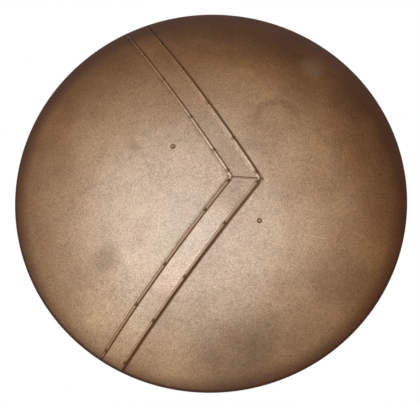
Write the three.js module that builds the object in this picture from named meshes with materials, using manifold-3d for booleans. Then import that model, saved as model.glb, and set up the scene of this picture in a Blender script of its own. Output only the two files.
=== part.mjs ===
// A round, dished sheet-metal shield in the hoplite pattern, with a riveted chevron on its face.
// It is built in a dish frame whose +Z leaves the middle of the face, then stood up so that the face looks
// along -Y and the top of the shield is +Z. The origin is the middle of the space that the forearm fills.
// Lengths are millimetres.
import * as THREE from "three";
import { mergeVertices } from "three/addons/utils/BufferGeometryUtils.js";
import Module from "manifold-3d";

const wasm = await Module();
wasm.setup();

const degree = Math.PI / 180;

// Gaps between pieces that touch, and the overrun of every cutting tool
const fitGap = 0.3;
const drillGap = 0.25;
const overrun = 5;

// Bowl and its wired edge
const shieldDiameter = 610;
const shieldDepth = 100;
const bowlSheet = 1.2;
const rimWireDiameter = 4;
const aroundSteps = 64;
const meridianSteps = 10;
const curlSteps = 10;
const curlOpenSteps = 1;
const rimWireSides = 6;

// Chevron: two limbs of flat strip that meet in a mitre, each with a half-round trim along both edges
const limbAngle = 35 * degree;
const limbOffset = 45;
const trimSpacing = 34;
const trimWidth = 5.6;
const trimHeight = 2.4;
const trimLip = 2.4;
const bandSheet = 1;
const mitreGap = 0.9;
const chevronInset = 2.6;
const trimStep = 20;
const trimArcSteps = 5;

// Small rivets that hold the trims, as shares of the way from the mitre to the rim
const rivetHeadDiameter = 5.2;
const rivetHeadHeight = 1.7;
const rivetShankDiameter = 2.5;
const rivetTailDiameter = 4.4;
const rivetTailHeight = 0.9;
const rivetSides = 8;
const rivetDomeAngles = [90, 50, 0];
const rivetShares = {
  upper_outer: [0.033, 0.216, 0.423, 0.643, 0.835],
  upper_inner: [0.033, 0.151, 0.352, 0.606, 0.803],
  lower_outer: [0.018, 0.249, 0.529, 0.751, 0.964],
  lower_inner: [0.023, 0.195, 0.495, 0.711, 0.956],
};

// Forearm band: one leather strap that is riveted at both feet and arches over the forearm
const strapAngle = -39 * degree;
const armRivetSpan = 169;
const armLoopOffset = 14.5;
const strapWidth = 50;
const strapThickness = 3.5;
const strapCorner = 12;
const strapFootTail = 14;
const strapFootLead = 15;
const strapFootReach = 30;
const strapCrownLength = 44;
const strapCrownReach = 42;
const strapCrownStandoff = 9;
const strapLegSteps = 9;
const armRivetHeadDiameter = 7.6;
const armRivetHeadHeight = 2.4;
const armRivetShankDiameter = 4;
const armRivetTailDiameter = 6.4;
const armRivetTailHeight = 1.2;
const armWasherDiameter = 13;
const armWasherThickness = 1;
const armRivetSides = 12;

// Pad that the forearm rests on, between the feet of its band
const padLength = 150;
const padSideClear = 37;
const padThickness = 8;
const padCorner = 22;

// Hand grip: a swinging bail with a leather sleeve, carried by two eyed lugs brazed inside the bowl
const gripRadius = 200;
const bailRodDiameter = 7;
const bailSpan = 128;
const bailDrop = 42;
const bailBend = 8;
const bailStubProud = 3;
const bailSteps = 44;
const bailSides = 10;
const pivotGap = 0.4;
const pivotHeight = 13;
const lugEarThickness = 5;
const lugEarRadius = 7.5;
const lugBaseDiameter = 28;
const lugBaseThickness = 3;
const lugBaseBevel = 1;
const lugSideGap = 0.6;
const lugSides = 14;
const sleeveLength = 92;
const sleeveEndDiameter = 19;
const sleeveMiddleDiameter = 22;
const ferruleLength = 7;
const ferruleDiameter = 13;
const ferruleBevel = 1.2;
const gripSides = 14;

// Values that follow from the sizes above
const shieldRadius = shieldDiameter / 2;
const curlStep = (2 * Math.PI) / curlSteps;
const curlRadius = rimWireDiameter / 2 + fitGap + bowlSheet;
const curlReach = curlRadius * Math.cos(curlStep / 2);
const rimWireRing = shieldRadius - curlReach;
const domeRadius = outerSphereRadius();
const domeCentreHeight = shieldDepth - domeRadius;
const bowlInnerRadius = domeRadius - bowlSheet;
const domeEdgeAngle = Math.asin(rimWireRing / (domeRadius - curlRadius));
const bandBaseRadius = domeRadius + fitGap;
const trimBaseRadius = bandBaseRadius + bandSheet + fitGap;
const chevronEndRadius = shieldRadius - chevronInset;
const gripAngle = Math.asin(gripRadius / bowlInnerRadius);
const padWidth = armRivetSpan - 2 * padSideClear;
const bailLegPlace = bailSpan / 2;
const lugPlace = bailLegPlace - bailBend - lugSideGap - lugEarThickness / 2;
const pivotDrop = sphereSag(lugPlace) + pivotHeight;
const trimTailSeat = -bowlSheet - flatSeatDepth(rivetTailDiameter / 2, shieldRadius);

// Sphere whose top stands at the shield's depth and which runs smoothly into the curled edge
function outerSphereRadius() {
  const rise = shieldDepth - curlReach;
  return (rimWireRing ** 2 + rise ** 2 - curlRadius ** 2) / (2 * (rise - curlRadius));
}

// Drop of the bowl's inner face over a distance from the point where a plane touches it
function sphereSag(distance) {
  return bowlInnerRadius - Math.sqrt(bowlInnerRadius ** 2 - distance ** 2);
}

// Depth under the bowl's true inner face at which a flat piece clears its facets
function flatSeatDepth(halfSize, planRadius) {
  const meridianDip = bowlInnerRadius * (1 - Math.cos(domeEdgeAngle / meridianSteps / 2));
  const aroundDip = planRadius * (1 - Math.cos(Math.PI / aroundSteps));
  return fitGap + sphereSag(halfSize) + meridianDip + aroundDip;
}

// Circumscribed radius of a many-sided bore that a round piece fits with the given gap
function boreRadius(radius, gap, sides) {
  return (radius + gap) / Math.cos(Math.PI / sides);
}

// Solid for joins and cuts, from a closed geometry
function toSolid(geometry) {
  const bare = geometry.clone();
  bare.deleteAttribute("normal");
  bare.deleteAttribute("uv");
  const merged = mergeVertices(bare);
  const vertProperties = new Float32Array(merged.attributes.position.array);
  const triVerts = new Uint32Array(merged.index.array);
  return new wasm.Manifold(new wasm.Mesh({ numProp: 3, vertProperties, triVerts }));
}

function toGeometry(solid) {
  const { vertProperties, triVerts } = solid.getMesh();
  const geometry = new THREE.BufferGeometry();
  geometry.setAttribute("position", new THREE.BufferAttribute(vertProperties, 3));
  geometry.setIndex(new THREE.BufferAttribute(triVerts, 1));
  geometry.computeVertexNormals();
  return geometry;
}

// Piece turned about +Z, from [radius, height] pairs that run from its top down its outside
function turned(profile, sides) {
  const points = profile.map(([radius, height]) => new THREE.Vector2(radius, height)).reverse();
  return new THREE.LatheGeometry(points, sides).rotateX(Math.PI / 2);
}

// Meridian of a sphere about the dome's centre, from the pole to the edge of the dome
function meridian(radius) {
  const points = [];
  for (let i = 0; i <= meridianSteps; i += 1) {
    const angle = (domeEdgeAngle * i) / meridianSteps;
    points.push([radius * Math.sin(angle), domeCentreHeight + radius * Math.cos(angle)]);
  }
  return points;
}

// Part of the curl about the rim wire, from the outside of the dome round to the inside of the bowl
function curlArc(radius) {
  const points = [];
  for (let i = 1; i < curlSteps - curlOpenSteps; i += 1) {
    const angle = (i + 1 / 2) * curlStep;
    points.push([rimWireRing + radius * Math.sin(angle), curlReach + radius * Math.cos(angle)]);
  }
  return points;
}

// Spherical shell that follows the bowl's facets
function domeShell(outerRadius, innerRadius) {
  return turned([...meridian(outerRadius), ...meridian(innerRadius).reverse()], aroundSteps);
}

// Direction from the dome's centre to the place that lies over (x, y) on a sphere of the given radius
function outwardNormal(x, y, radius) {
  return new THREE.Vector3(x, y, Math.sqrt(radius ** 2 - x ** 2 - y ** 2)).divideScalar(radius);
}

// Frame with its origin on the bowl's outer face and +Z along the outward normal
function faceFrame(normal) {
  const place = normal.clone().multiplyScalar(domeRadius);
  place.z += domeCentreHeight;
  const turn = new THREE.Quaternion().setFromUnitVectors(new THREE.Vector3(0, 0, 1), normal);
  return new THREE.Matrix4().compose(place, turn, new THREE.Vector3(1, 1, 1));
}

// Round cutting tool along a frame's Z, between two heights
function drill(frame, radius, low, high, sides) {
  const tool = new THREE.CylinderGeometry(radius, radius, high - low, sides);
  tool.rotateX(Math.PI / 2).translate(0, 0, (low + high) / 2).applyMatrix4(frame);
  return toSolid(tool);
}

function cutAll(solid, tools) {
  return tools.reduce((rest, tool) => rest.subtract(tool), solid);
}

function material(color, roughness, metalness) {
  return new THREE.MeshStandardMaterial({ color, roughness, metalness });
}

const bronzeFinish = () => material(0x94755a, 0.45, 0.6);
const bandFinish = () => material(0x9c7d61, 0.42, 0.6);
const trimFinish = () => material(0x8a6b50, 0.4, 0.65);
const rivetFinish = () => material(0x7a5c43, 0.4, 0.7);
const steelFinish = () => material(0x6d6a66, 0.4, 0.85);
const brassFinish = () => material(0x9c7a3e, 0.38, 0.85);
const strapLeather = () => material(0x5a3822, 0.7, 0);
const padLeather = () => material(0x6b4529, 0.75, 0);
const gripLeather = () => material(0x4a2d1b, 0.65, 0);

function part(name, geometry, finish) {
  const mesh = new THREE.Mesh(geometry, finish);
  mesh.name = name;
  return mesh;
}

// Distance of a trim's centre line from the shield's axis
function trimOffset(edge) {
  return edge === "outer" ? limbOffset + trimSpacing / 2 : limbOffset - trimSpacing / 2;
}

// Outward normals at the rivets of one trim. Each limb is straight when the shield is seen along its axis.
function trimRivetNormals(limb, edge) {
  const side = limb === "upper" ? 1 : -1;
  const offset = trimOffset(edge);
  const mitrePlace = -offset * Math.tan(limbAngle);
  const rimPlace = Math.sqrt(chevronEndRadius ** 2 - offset ** 2);
  return rivetShares[`${limb}_${edge}`].map((share) => {
    const along = mitrePlace + share * (rimPlace - mitrePlace);
    const x = offset * Math.cos(limbAngle) - along * Math.sin(limbAngle);
    const y = offset * Math.sin(limbAngle) + along * Math.cos(limbAngle);
    return outwardNormal(x, side * y, trimBaseRadius);
  });
}

const limbs = ["upper", "lower"];
const edges = ["outer", "inner"];
const trims = limbs.flatMap((limb) => edges.map((edge) => ({ limb, edge })));
const trimRivets = trims.flatMap(({ limb, edge }) =>
  trimRivetNormals(limb, edge).map((normal, index) => ({
    limb,
    edge,
    name: `trim_rivet_${limb}_${edge}_${index + 1}`,
    frame: faceFrame(normal),
  })),
);

// Places of the forearm band's rivets along the strap, and the frames of their heads
const armRivets = [
  { name: "upper", side: -1 },
  { name: "lower", side: 1 },
].map(({ name, side }) => {
  const along = armLoopOffset + (side * armRivetSpan) / 2;
  const normal = outwardNormal(along, 0, bowlInnerRadius);
  return { name, side, along, frame: faceFrame(normal) };
});

const strapTurn = new THREE.Matrix4().makeRotationZ(strapAngle);
const strapFootHalf = Math.hypot(strapWidth / 2, Math.max(strapFootTail, strapFootLead));
const strapFootDepth = flatSeatDepth(strapFootHalf, armLoopOffset + armRivetSpan / 2);

// Cutting tools for the rivets of one limb, or of one trim
function trimDrills(limb, edge) {
  const radius = boreRadius(rivetShankDiameter / 2, drillGap, rivetSides);
  const chosen = trimRivets.filter((rivet) => rivet.limb === limb && (!edge || rivet.edge === edge));
  const top = trimBaseRadius - domeRadius + trimHeight + overrun;
  return chosen.map(({ frame }) => drill(frame, radius, -bowlSheet - overrun, top, rivetSides));
}

// Cutting tools for the forearm band's rivets, in the strap's frame or turned out of it
function armDrills(low, high, turn = new THREE.Matrix4()) {
  const radius = boreRadius(armRivetShankDiameter / 2, drillGap, armRivetSides);
  return armRivets.map(({ frame }) => {
    const place = frame.clone().premultiply(turn);
    return drill(place, radius, low, high, armRivetSides);
  });
}

// Dished sheet whose edge is curled back round the rim wire and left open on the inside
function shieldBowl() {
  const outside = [...meridian(domeRadius), ...curlArc(curlRadius)];
  const inside = [...meridian(bowlInnerRadius), ...curlArc(curlRadius - bowlSheet)];
  const sheet = toSolid(turned([...outside, ...inside.reverse()], aroundSteps));
  const strapDrills = armDrills(-bowlSheet - overrun, overrun, strapTurn);
  return toGeometry(cutAll(sheet, [...trimDrills("upper"), ...trimDrills("lower"), ...strapDrills]));
}

function rimWire() {
  const points = [];
  for (let i = 0; i <= rimWireSides; i += 1) {
    const angle = ((i + 1 / 2) * 2 * Math.PI) / rimWireSides;
    const reach = rimWireDiameter / 2;
    points.push([rimWireRing + reach * Math.sin(angle), curlReach + reach * Math.cos(angle)]);
  }
  return turned(points, aroundSteps);
}

// Tall half disc over one limb, from the mitre to the limb's end at the rim
function limbRegion(limb) {
  const start = Math.asin(mitreGap / 2 / chevronEndRadius);
  const outline = new THREE.Shape().absarc(0, 0, chevronEndRadius, start, Math.PI - start);
  const depth = shieldDepth + 2 * overrun;
  const region = new THREE.ExtrudeGeometry(outline, {
    depth,
    bevelEnabled: false,
    curveSegments: aroundSteps / 4,
  });
  region.translate(0, 0, -overrun).rotateZ(limb === "upper" ? 0 : Math.PI);
  return toSolid(region);
}

function limbTurn(limb) {
  return limb === "upper" ? limbAngle : -limbAngle;
}

// Flat strip of one limb, which follows the dome under both of its trims
function chevronBand(limb) {
  const width = trimSpacing + trimWidth + 2 * trimLip;
  const strip = new THREE.BoxGeometry(width, 2 * shieldDiameter, 2 * shieldDiameter);
  strip.translate(limbOffset, 0, 0).rotateZ(limbTurn(limb));
  const shell = toSolid(domeShell(bandBaseRadius + bandSheet, bandBaseRadius));
  const band = shell.intersect(toSolid(strip)).intersect(limbRegion(limb));
  return toGeometry(cutAll(band, trimDrills(limb)));
}

// Half-round trim: a ring about the line through the dome's centre that crosses the limb, cut to the limb
function edgeTrim(limb, edge) {
  const offset = trimOffset(edge);
  const lean = Math.asin(offset / trimBaseRadius);
  const section = [];
  for (let i = 0; i <= trimArcSteps; i += 1) {
    const angle = (Math.PI * i) / trimArcSteps;
    const across = (trimWidth / 2) * Math.cos(angle);
    const out = trimBaseRadius + trimHeight * Math.sin(angle);
    section.push([
      out * Math.cos(lean) - across * Math.sin(lean),
      out * Math.sin(lean) + across * Math.cos(lean),
    ]);
  }
  section.push(section[0]);
  const ringSteps = 4 * Math.round((Math.PI * trimBaseRadius) / (2 * trimStep));
  const ring = turned(section, ringSteps).rotateY(Math.PI / 2).rotateZ(limbTurn(limb));
  ring.translate(0, 0, domeCentreHeight);
  const trim = toSolid(ring).intersect(limbRegion(limb));
  return toGeometry(cutAll(trim, trimDrills(limb, edge)));
}

// Domed rivet along +Z: head over the seat height, shank, and a tail that is spread under the lower seat
function rivet(head, shankDiameter, tail, headSeat, tailSeat, sides) {
  const dome = rivetDomeAngles.map((angle) => [
    (head.diameter / 2) * Math.cos(angle * degree),
    headSeat + head.height * Math.sin(angle * degree),
  ]);
  dome[0][0] = 0;
  const shank = [
    [shankDiameter / 2, headSeat],
    [shankDiameter / 2, tailSeat],
  ];
  const spread = [
    [tail.diameter / 2, tailSeat],
    [tail.diameter / 2 - tail.height / 2, tailSeat - tail.height],
    [0, tailSeat - tail.height],
  ];
  return turned([...dome, ...shank, ...spread], sides);
}

function trimRivetGeometry() {
  return rivet(
    { diameter: rivetHeadDiameter, height: rivetHeadHeight },
    rivetShankDiameter,
    { diameter: rivetTailDiameter, height: rivetTailHeight },
    trimBaseRadius - domeRadius + trimHeight + fitGap / 3,
    trimTailSeat,
    rivetSides,
  );
}

// Heights, from the bowl's outer face, of the washer under the forearm band's foot
const armWasherTop = -bowlSheet - strapFootDepth - strapThickness - fitGap;
const armWasherBottom = armWasherTop - armWasherThickness;

function armRivetGeometry() {
  return rivet(
    { diameter: armRivetHeadDiameter, height: armRivetHeadHeight },
    armRivetShankDiameter,
    { diameter: armRivetTailDiameter, height: armRivetTailHeight },
    fitGap,
    armWasherBottom - fitGap,
    armRivetSides,
  );
}

function armWasherGeometry() {
  const bore = boreRadius(armRivetShankDiameter / 2, drillGap, armRivetSides);
  const outer = armWasherDiameter / 2;
  return turned(
    [
      [bore, armWasherTop],
      [outer, armWasherTop],
      [outer, armWasherBottom],
      [bore, armWasherBottom],
      [bore, armWasherTop],
    ],
    armRivetSides,
  );
}

// Centre line of the forearm band from the end of one foot to its crown, as [along the strap, height]
function strapLeg({ side, along }) {
  const angle = Math.asin(along / bowlInnerRadius);
  const centreRadius = bowlInnerRadius - strapFootDepth - strapThickness / 2;
  const inward = new THREE.Vector2(-side * Math.cos(angle), side * Math.sin(angle));
  const seat = new THREE.Vector2(Math.sin(angle), Math.cos(angle)).multiplyScalar(centreRadius);
  seat.y += domeCentreHeight;
  const onFoot = (distance) => seat.clone().addScaledVector(inward, distance);
  const crown = new THREE.Vector2(
    armLoopOffset + (side * strapCrownLength) / 2,
    strapCrownStandoff + strapThickness / 2,
  );
  const crownGuide = new THREE.Vector2(crown.x + side * strapCrownReach, crown.y);
  const bend = onFoot(strapFootLead);
  const bendGuide = onFoot(strapFootLead + strapFootReach);
  const leg = new THREE.CubicBezierCurve(bend, bendGuide, crownGuide, crown);
  return [onFoot(-strapFootTail), ...leg.getPoints(strapLegSteps)];
}

// Outline of a strip of even thickness about a centre line
function stripOutline(line, thickness) {
  const edge = (shift) =>
    line.map((point, i) => {
      const before = line[Math.max(i - 1, 0)];
      const after = line[Math.min(i + 1, line.length - 1)];
      const run = after.clone().sub(before).normalize();
      return new THREE.Vector2(point.x - run.y * shift, point.y + run.x * shift);
    });
  return new THREE.Shape([...edge(thickness / 2), ...edge(-thickness / 2).reverse()]);
}

function roundedRectangle(width, height, corner) {
  const x = width / 2 - corner;
  const y = height / 2 - corner;
  const outline = new THREE.Shape();
  outline.absarc(x, y, corner, 0, Math.PI / 2);
  outline.absarc(-x, y, corner, Math.PI / 2, Math.PI);
  outline.absarc(-x, -y, corner, Math.PI, (3 * Math.PI) / 2);
  outline.absarc(x, -y, corner, (3 * Math.PI) / 2, 2 * Math.PI);
  return outline;
}

// Tall prism with a rounded outline, centred on the forearm band
function loopPrism(width, height, corner) {
  const depth = shieldDepth + 2 * overrun;
  const prism = new THREE.ExtrudeGeometry(roundedRectangle(width, height, corner), {
    depth,
    bevelEnabled: false,
    curveSegments: 4,
  });
  return toSolid(prism.translate(armLoopOffset, 0, -overrun));
}

function armBand() {
  const line = [...strapLeg(armRivets[0]), ...strapLeg(armRivets[1]).reverse()];
  const strip = new THREE.ExtrudeGeometry(stripOutline(line, strapThickness), {
    depth: strapWidth,
    bevelEnabled: false,
  });
  strip.rotateX(Math.PI / 2).translate(0, strapWidth / 2, 0);
  const length = line[line.length - 1].x - line[0].x;
  const prism = loopPrism(length, strapWidth, strapCorner);
  const shift = (line[line.length - 1].x + line[0].x) / 2 - armLoopOffset;
  const band = toSolid(strip).intersect(prism.translate([shift, 0, 0]));
  return toGeometry(cutAll(band, armDrills(-bowlSheet - strapFootDepth - strapThickness - overrun, 0)));
}

// Pad that follows the bowl, with a pocket over each rivet tail that lies under it
function armPad() {
  const face = bowlInnerRadius - fitGap;
  const shell = toSolid(domeShell(face, face - padThickness));
  const pad = shell.intersect(loopPrism(padWidth, padLength, padCorner));
  const pocket = rivetTailDiameter / 2 + fitGap;
  const unturn = strapTurn.clone().invert();
  const low = trimTailSeat - rivetTailHeight - fitGap;
  const tools = trimRivets.map(({ frame }) => {
    const turnedFrame = frame.clone().premultiply(unturn);
    return drill(turnedFrame, pocket, low, 0, rivetSides);
  });
  return toGeometry(cutAll(pad, tools));
}

// Lug in the grip frame: an ear with an eye for the bail, on a round foot that touches the bowl
function gripLug(side) {
  const baseRadius = lugBaseDiameter / 2;
  const planRadius = gripRadius + baseRadius;
  const footTop = bowlInnerRadius - flatSeatDepth(baseRadius, planRadius);
  const footBottom = footTop - lugBaseThickness;
  const foot = turned(
    [
      [0, footTop],
      [baseRadius, footTop],
      [baseRadius, footBottom + lugBaseBevel],
      [baseRadius - lugBaseBevel, footBottom],
      [0, footBottom],
    ],
    lugSides,
  );
  foot.rotateY(side * Math.asin(lugPlace / bowlInnerRadius)).translate(0, 0, -bowlInnerRadius);
  const rootHeight = (footTop + footBottom) / 2 - bowlInnerRadius - sphereSag(lugPlace);
  const outline = new THREE.Shape();
  outline.moveTo(-lugEarRadius, rootHeight);
  outline.absarc(0, -pivotDrop, lugEarRadius, Math.PI, 2 * Math.PI);
  outline.lineTo(lugEarRadius, rootHeight);
  const ear = new THREE.ExtrudeGeometry(outline, {
    depth: lugEarThickness,
    bevelEnabled: false,
    curveSegments: lugSides / 2,
  });
  ear.rotateX(Math.PI / 2).rotateZ(Math.PI / 2);
  ear.translate(side * lugPlace - lugEarThickness / 2, 0, 0);
  const eye = boreRadius(bailRodDiameter / 2, pivotGap, lugSides);
  const tool = new THREE.CylinderGeometry(eye, eye, lugEarThickness + 2 * overrun, lugSides);
  tool.rotateZ(Math.PI / 2).translate(side * lugPlace, 0, -pivotDrop);
  return toGeometry(toSolid(foot).add(toSolid(ear)).subtract(toSolid(tool)));
}

// Path through points with each corner rounded off
function roundedPath(points, bend) {
  const path = new THREE.CurvePath();
  let from = points[0];
  for (let i = 1; i < points.length - 1; i += 1) {
    const corner = points[i];
    const into = corner.clone().sub(points[i - 1]).setLength(bend);
    const away = points[i + 1].clone().sub(corner).setLength(bend);
    const start = corner.clone().sub(into);
    const end = corner.clone().add(away);
    path.add(new THREE.LineCurve3(from, start));
    path.add(new THREE.QuadraticBezierCurve3(start, corner, end));
    from = end;
  }
  path.add(new THREE.LineCurve3(from, points[points.length - 1]));
  return path;
}

// Bail in its own frame: it turns about X and hangs towards -Y
function gripBail() {
  const stub = lugPlace - lugEarThickness / 2 - bailStubProud;
  const corners = [
    [-stub, 0],
    [-bailLegPlace, 0],
    [-bailLegPlace, -bailDrop],
    [bailLegPlace, -bailDrop],
    [bailLegPlace, 0],
    [stub, 0],
  ].map(([x, y]) => new THREE.Vector3(x, y, 0));
  const section = new THREE.Shape().absarc(0, 0, bailRodDiameter / 2, 0, 2 * Math.PI);
  return new THREE.ExtrudeGeometry(section, {
    steps: bailSteps,
    extrudePath: roundedPath(corners, bailBend),
    curveSegments: bailSides / 2,
    bevelEnabled: false,
  });
}

// Barrel-shaped leather sleeve on the bail's bar
function gripSleeve() {
  const bore = boreRadius(bailRodDiameter / 2, fitGap, gripSides);
  const end = sleeveLength / 2;
  const bulge = [-1, -1 / 2, 0, 1 / 2, 1].map((share) => [
    sleeveEndDiameter / 2 + ((sleeveMiddleDiameter - sleeveEndDiameter) / 2) * (1 - share ** 2),
    -share * end,
  ]);
  return turned([[bore, end], ...bulge, [bore, -end], [bore, end]], gripSides).rotateY(Math.PI / 2);
}

function gripFerrule() {
  const bore = boreRadius(bailRodDiameter / 2, fitGap, gripSides);
  const outer = ferruleDiameter / 2;
  const end = ferruleLength / 2;
  return turned(
    [
      [bore, end],
      [outer - ferruleBevel, end],
      [outer, end - ferruleBevel],
      [outer, -end + ferruleBevel],
      [outer - ferruleBevel, -end],
      [bore, -end],
      [bore, end],
    ],
    gripSides,
  ).rotateY(Math.PI / 2);
}

function faceGroup() {
  const group = new THREE.Group();
  group.add(part("shield_bowl", shieldBowl(), bronzeFinish()));
  group.add(part("rim_wire", rimWire(), steelFinish()));
  for (const limb of limbs) {
    group.add(part(`chevron_band_${limb}`, chevronBand(limb), bandFinish()));
  }
  for (const { limb, edge } of trims) {
    group.add(part(`edge_trim_${limb}_${edge}`, edgeTrim(limb, edge), trimFinish()));
  }
  for (const { name, frame } of trimRivets) {
    const mesh = part(name, trimRivetGeometry(), rivetFinish());
    mesh.applyMatrix4(frame);
    group.add(mesh);
  }
  return group;
}

function armGroup() {
  const group = new THREE.Group();
  group.rotation.z = strapAngle;
  group.add(part("arm_band", armBand(), strapLeather()));
  group.add(part("arm_pad", armPad(), padLeather()));
  for (const { name, frame } of armRivets) {
    const head = part(`arm_rivet_${name}`, armRivetGeometry(), rivetFinish());
    const washer = part(`arm_washer_${name}`, armWasherGeometry(), brassFinish());
    head.applyMatrix4(frame);
    washer.applyMatrix4(frame);
    group.add(head, washer);
  }
  return group;
}

function gripGroup() {
  const group = new THREE.Group();
  group.rotation.z = strapAngle;
  const seat = new THREE.Group();
  const seatHeight = domeCentreHeight + bowlInnerRadius * Math.cos(gripAngle);
  seat.position.set(0, gripRadius, seatHeight);
  seat.rotation.x = -gripAngle;
  seat.add(part("grip_lug_upper", gripLug(-1), brassFinish()));
  seat.add(part("grip_lug_lower", gripLug(1), brassFinish()));
  const swing = new THREE.Group();
  swing.position.z = -pivotDrop;
  swing.rotation.x = gripAngle;
  swing.add(part("grip_bail", gripBail(), steelFinish()));
  const sleeve = part("grip_leather", gripSleeve(), gripLeather());
  sleeve.position.y = -bailDrop;
  swing.add(sleeve);
  for (const [name, side] of [["upper", -1], ["lower", 1]]) {
    const ferrule = part(`grip_ferrule_${name}`, gripFerrule(), brassFinish());
    ferrule.position.set(side * (sleeveLength / 2 + fitGap + ferruleLength / 2), -bailDrop, 0);
    swing.add(ferrule);
  }
  seat.add(swing);
  group.add(seat);
  return group;
}

// The forearm lies midway between the pad and the crown of the band
const padFace = domeCentreHeight + bowlInnerRadius - fitGap - padThickness;
const forearmHeight = (padFace + strapCrownStandoff + strapThickness) / 2;

const dish = new THREE.Group();
dish.rotation.x = Math.PI / 2;
dish.position.set(
  -armLoopOffset * Math.cos(strapAngle),
  forearmHeight,
  -armLoopOffset * Math.sin(strapAngle),
);
dish.add(faceGroup(), armGroup(), gripGroup());

const shield = new THREE.Group();
shield.add(dish);

export default shield;
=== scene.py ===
# Looks of a round, dished sheet-metal shield with a riveted chevron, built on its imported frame.
# Shapes are worked out in millimetres in the dish's own frame, with x to the right, y up and z out of the
# face, and dish_to_row turns them into the metres of the row frame.
import math

import bmesh
import bpy
import numpy as np
from mathutils import Matrix, Vector


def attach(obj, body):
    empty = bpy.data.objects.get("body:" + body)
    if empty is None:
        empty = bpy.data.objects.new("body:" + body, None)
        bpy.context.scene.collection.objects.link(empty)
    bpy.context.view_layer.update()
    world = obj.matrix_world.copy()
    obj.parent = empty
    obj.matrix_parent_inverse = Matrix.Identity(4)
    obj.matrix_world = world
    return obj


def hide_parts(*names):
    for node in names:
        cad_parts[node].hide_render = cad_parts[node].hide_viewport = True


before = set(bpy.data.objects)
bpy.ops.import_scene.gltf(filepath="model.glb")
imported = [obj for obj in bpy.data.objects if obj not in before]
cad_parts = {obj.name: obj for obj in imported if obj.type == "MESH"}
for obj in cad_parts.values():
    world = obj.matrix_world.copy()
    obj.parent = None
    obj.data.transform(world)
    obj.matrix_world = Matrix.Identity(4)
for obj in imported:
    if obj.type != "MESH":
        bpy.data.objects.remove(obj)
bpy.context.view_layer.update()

# Sizes of the frame's pieces, in millimetres
AXIS_X, FACE_Y, AXIS_Z = -11.2686, 51.5, 9.12515
SHIELD_RADIUS, SHIELD_DEPTH, SHEET, WIRE_RADIUS, FIT = 305.0, 100.0, 1.2, 2.0, 0.3
LIMB_ANGLE, LIMB_OFFSET, TRIM_SPACING = math.radians(35), 45.0, 34.0
TRIM_WIDTH, TRIM_HEIGHT, TRIM_LIP, BAND_SHEET, MITRE_GAP, END_INSET = 5.6, 2.4, 2.4, 1.0, 0.9, 2.6
STRAP_ANGLE, RIVET_SPAN, LOOP_OFFSET = math.radians(-39), 169.0, 14.5
STRAP_WIDTH, STRAP_THICKNESS, STRAP_CORNER = 50.0, 3.5, 12.0
FOOT_TAIL, FOOT_LEAD, FOOT_REACH = 14.0, 15.0, 30.0
CROWN_LENGTH, CROWN_REACH, CROWN_STANDOFF = 44.0, 42.0, 9.0
PAD_LENGTH, PAD_WIDTH, PAD_CORNER = 150.0, 95.0, 22.0
GRIP_RADIUS, ROD_RADIUS, BAIL_SPAN, BAIL_DROP, BAIL_BEND, BAIL_PROUD = 200.0, 3.5, 128.0, 42.0, 8.0, 3.0
PIVOT_HEIGHT, EAR_THICKNESS, EAR_RADIUS, LUG_RADIUS, LUG_THICKNESS, LUG_GAP = 13.0, 5.0, 7.5, 14.0, 3.0, 0.6
SLEEVE_LENGTH, SLEEVE_END, SLEEVE_MIDDLE, FERRULE_LENGTH, FERRULE_RADIUS = 92.0, 9.5, 11.0, 7.0, 6.5
MERIDIAN_STEPS, AROUND_STEPS = 10, 64
RIVET_SHARES = {
    "upper_outer": (0.033, 0.216, 0.423, 0.643, 0.835),
    "upper_inner": (0.033, 0.151, 0.352, 0.606, 0.803),
    "lower_outer": (0.018, 0.249, 0.529, 0.751, 0.964),
    "lower_inner": (0.023, 0.195, 0.495, 0.711, 0.956),
}

# Values that follow from them, worked out as the frame's source does
CURL = WIRE_RADIUS + FIT + SHEET
CURL_REACH = CURL * math.cos(math.pi / 10)
RING = SHIELD_RADIUS - CURL_REACH
RISE = SHIELD_DEPTH - CURL_REACH
DOME = (RING**2 + RISE**2 - CURL**2) / (2 * (RISE - CURL))
CENTRE = SHIELD_DEPTH - DOME
INNER = DOME - SHEET
EDGE_ANGLE = math.asin(RING / (DOME - CURL))
BAND_TOP = FIT + BAND_SHEET
TRIM_BASE = BAND_TOP + FIT
CHEVRON_END = SHIELD_RADIUS - END_INSET
LIMB_HALF = (TRIM_SPACING + TRIM_WIDTH) / 2 + TRIM_LIP
GRIP_TILT = math.asin(GRIP_RADIUS / INNER)
LUG_PLACE = BAIL_SPAN / 2 - BAIL_BEND - LUG_GAP - EAR_THICKNESS / 2


def sag(distance):
    """Fall of the bowl's inner face at a distance from where it is highest."""
    return INNER - math.sqrt(INNER**2 - distance**2)


def seat_depth(half_size, plan_radius):
    """How far a flat piece sits inside the bowl's inner face, clear of the frame's facets."""
    meridian_dip = INNER * (1 - math.cos(EDGE_ANGLE / MERIDIAN_STEPS / 2))
    around_dip = plan_radius * (1 - math.cos(math.pi / AROUND_STEPS))
    return FIT + sag(half_size) + meridian_dip + around_dip


PIVOT_DROP = sag(LUG_PLACE) + PIVOT_HEIGHT
FOOT_HALF = math.hypot(STRAP_WIDTH / 2, max(FOOT_TAIL, FOOT_LEAD))
FOOT_DEPTH = seat_depth(FOOT_HALF, LOOP_OFFSET + RIVET_SPAN / 2)
WASHER_TOP = -SHEET - FOOT_DEPTH - STRAP_THICKNESS - FIT
WASHER_BOTTOM = WASHER_TOP - 1.0


# Frames and placing

def dish_to_row(points):
    p = np.asarray(points, float).reshape(-1, 3)
    return np.column_stack([p[:, 0] + AXIS_X, FACE_Y - p[:, 2], p[:, 1] + AXIS_Z]) / 1000


def row_to_dish(points):
    p = np.asarray(points, float).reshape(-1, 3) * 1000
    return np.column_stack([p[:, 0] - AXIS_X, p[:, 2] - AXIS_Z, FACE_Y - p[:, 1]])


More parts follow.
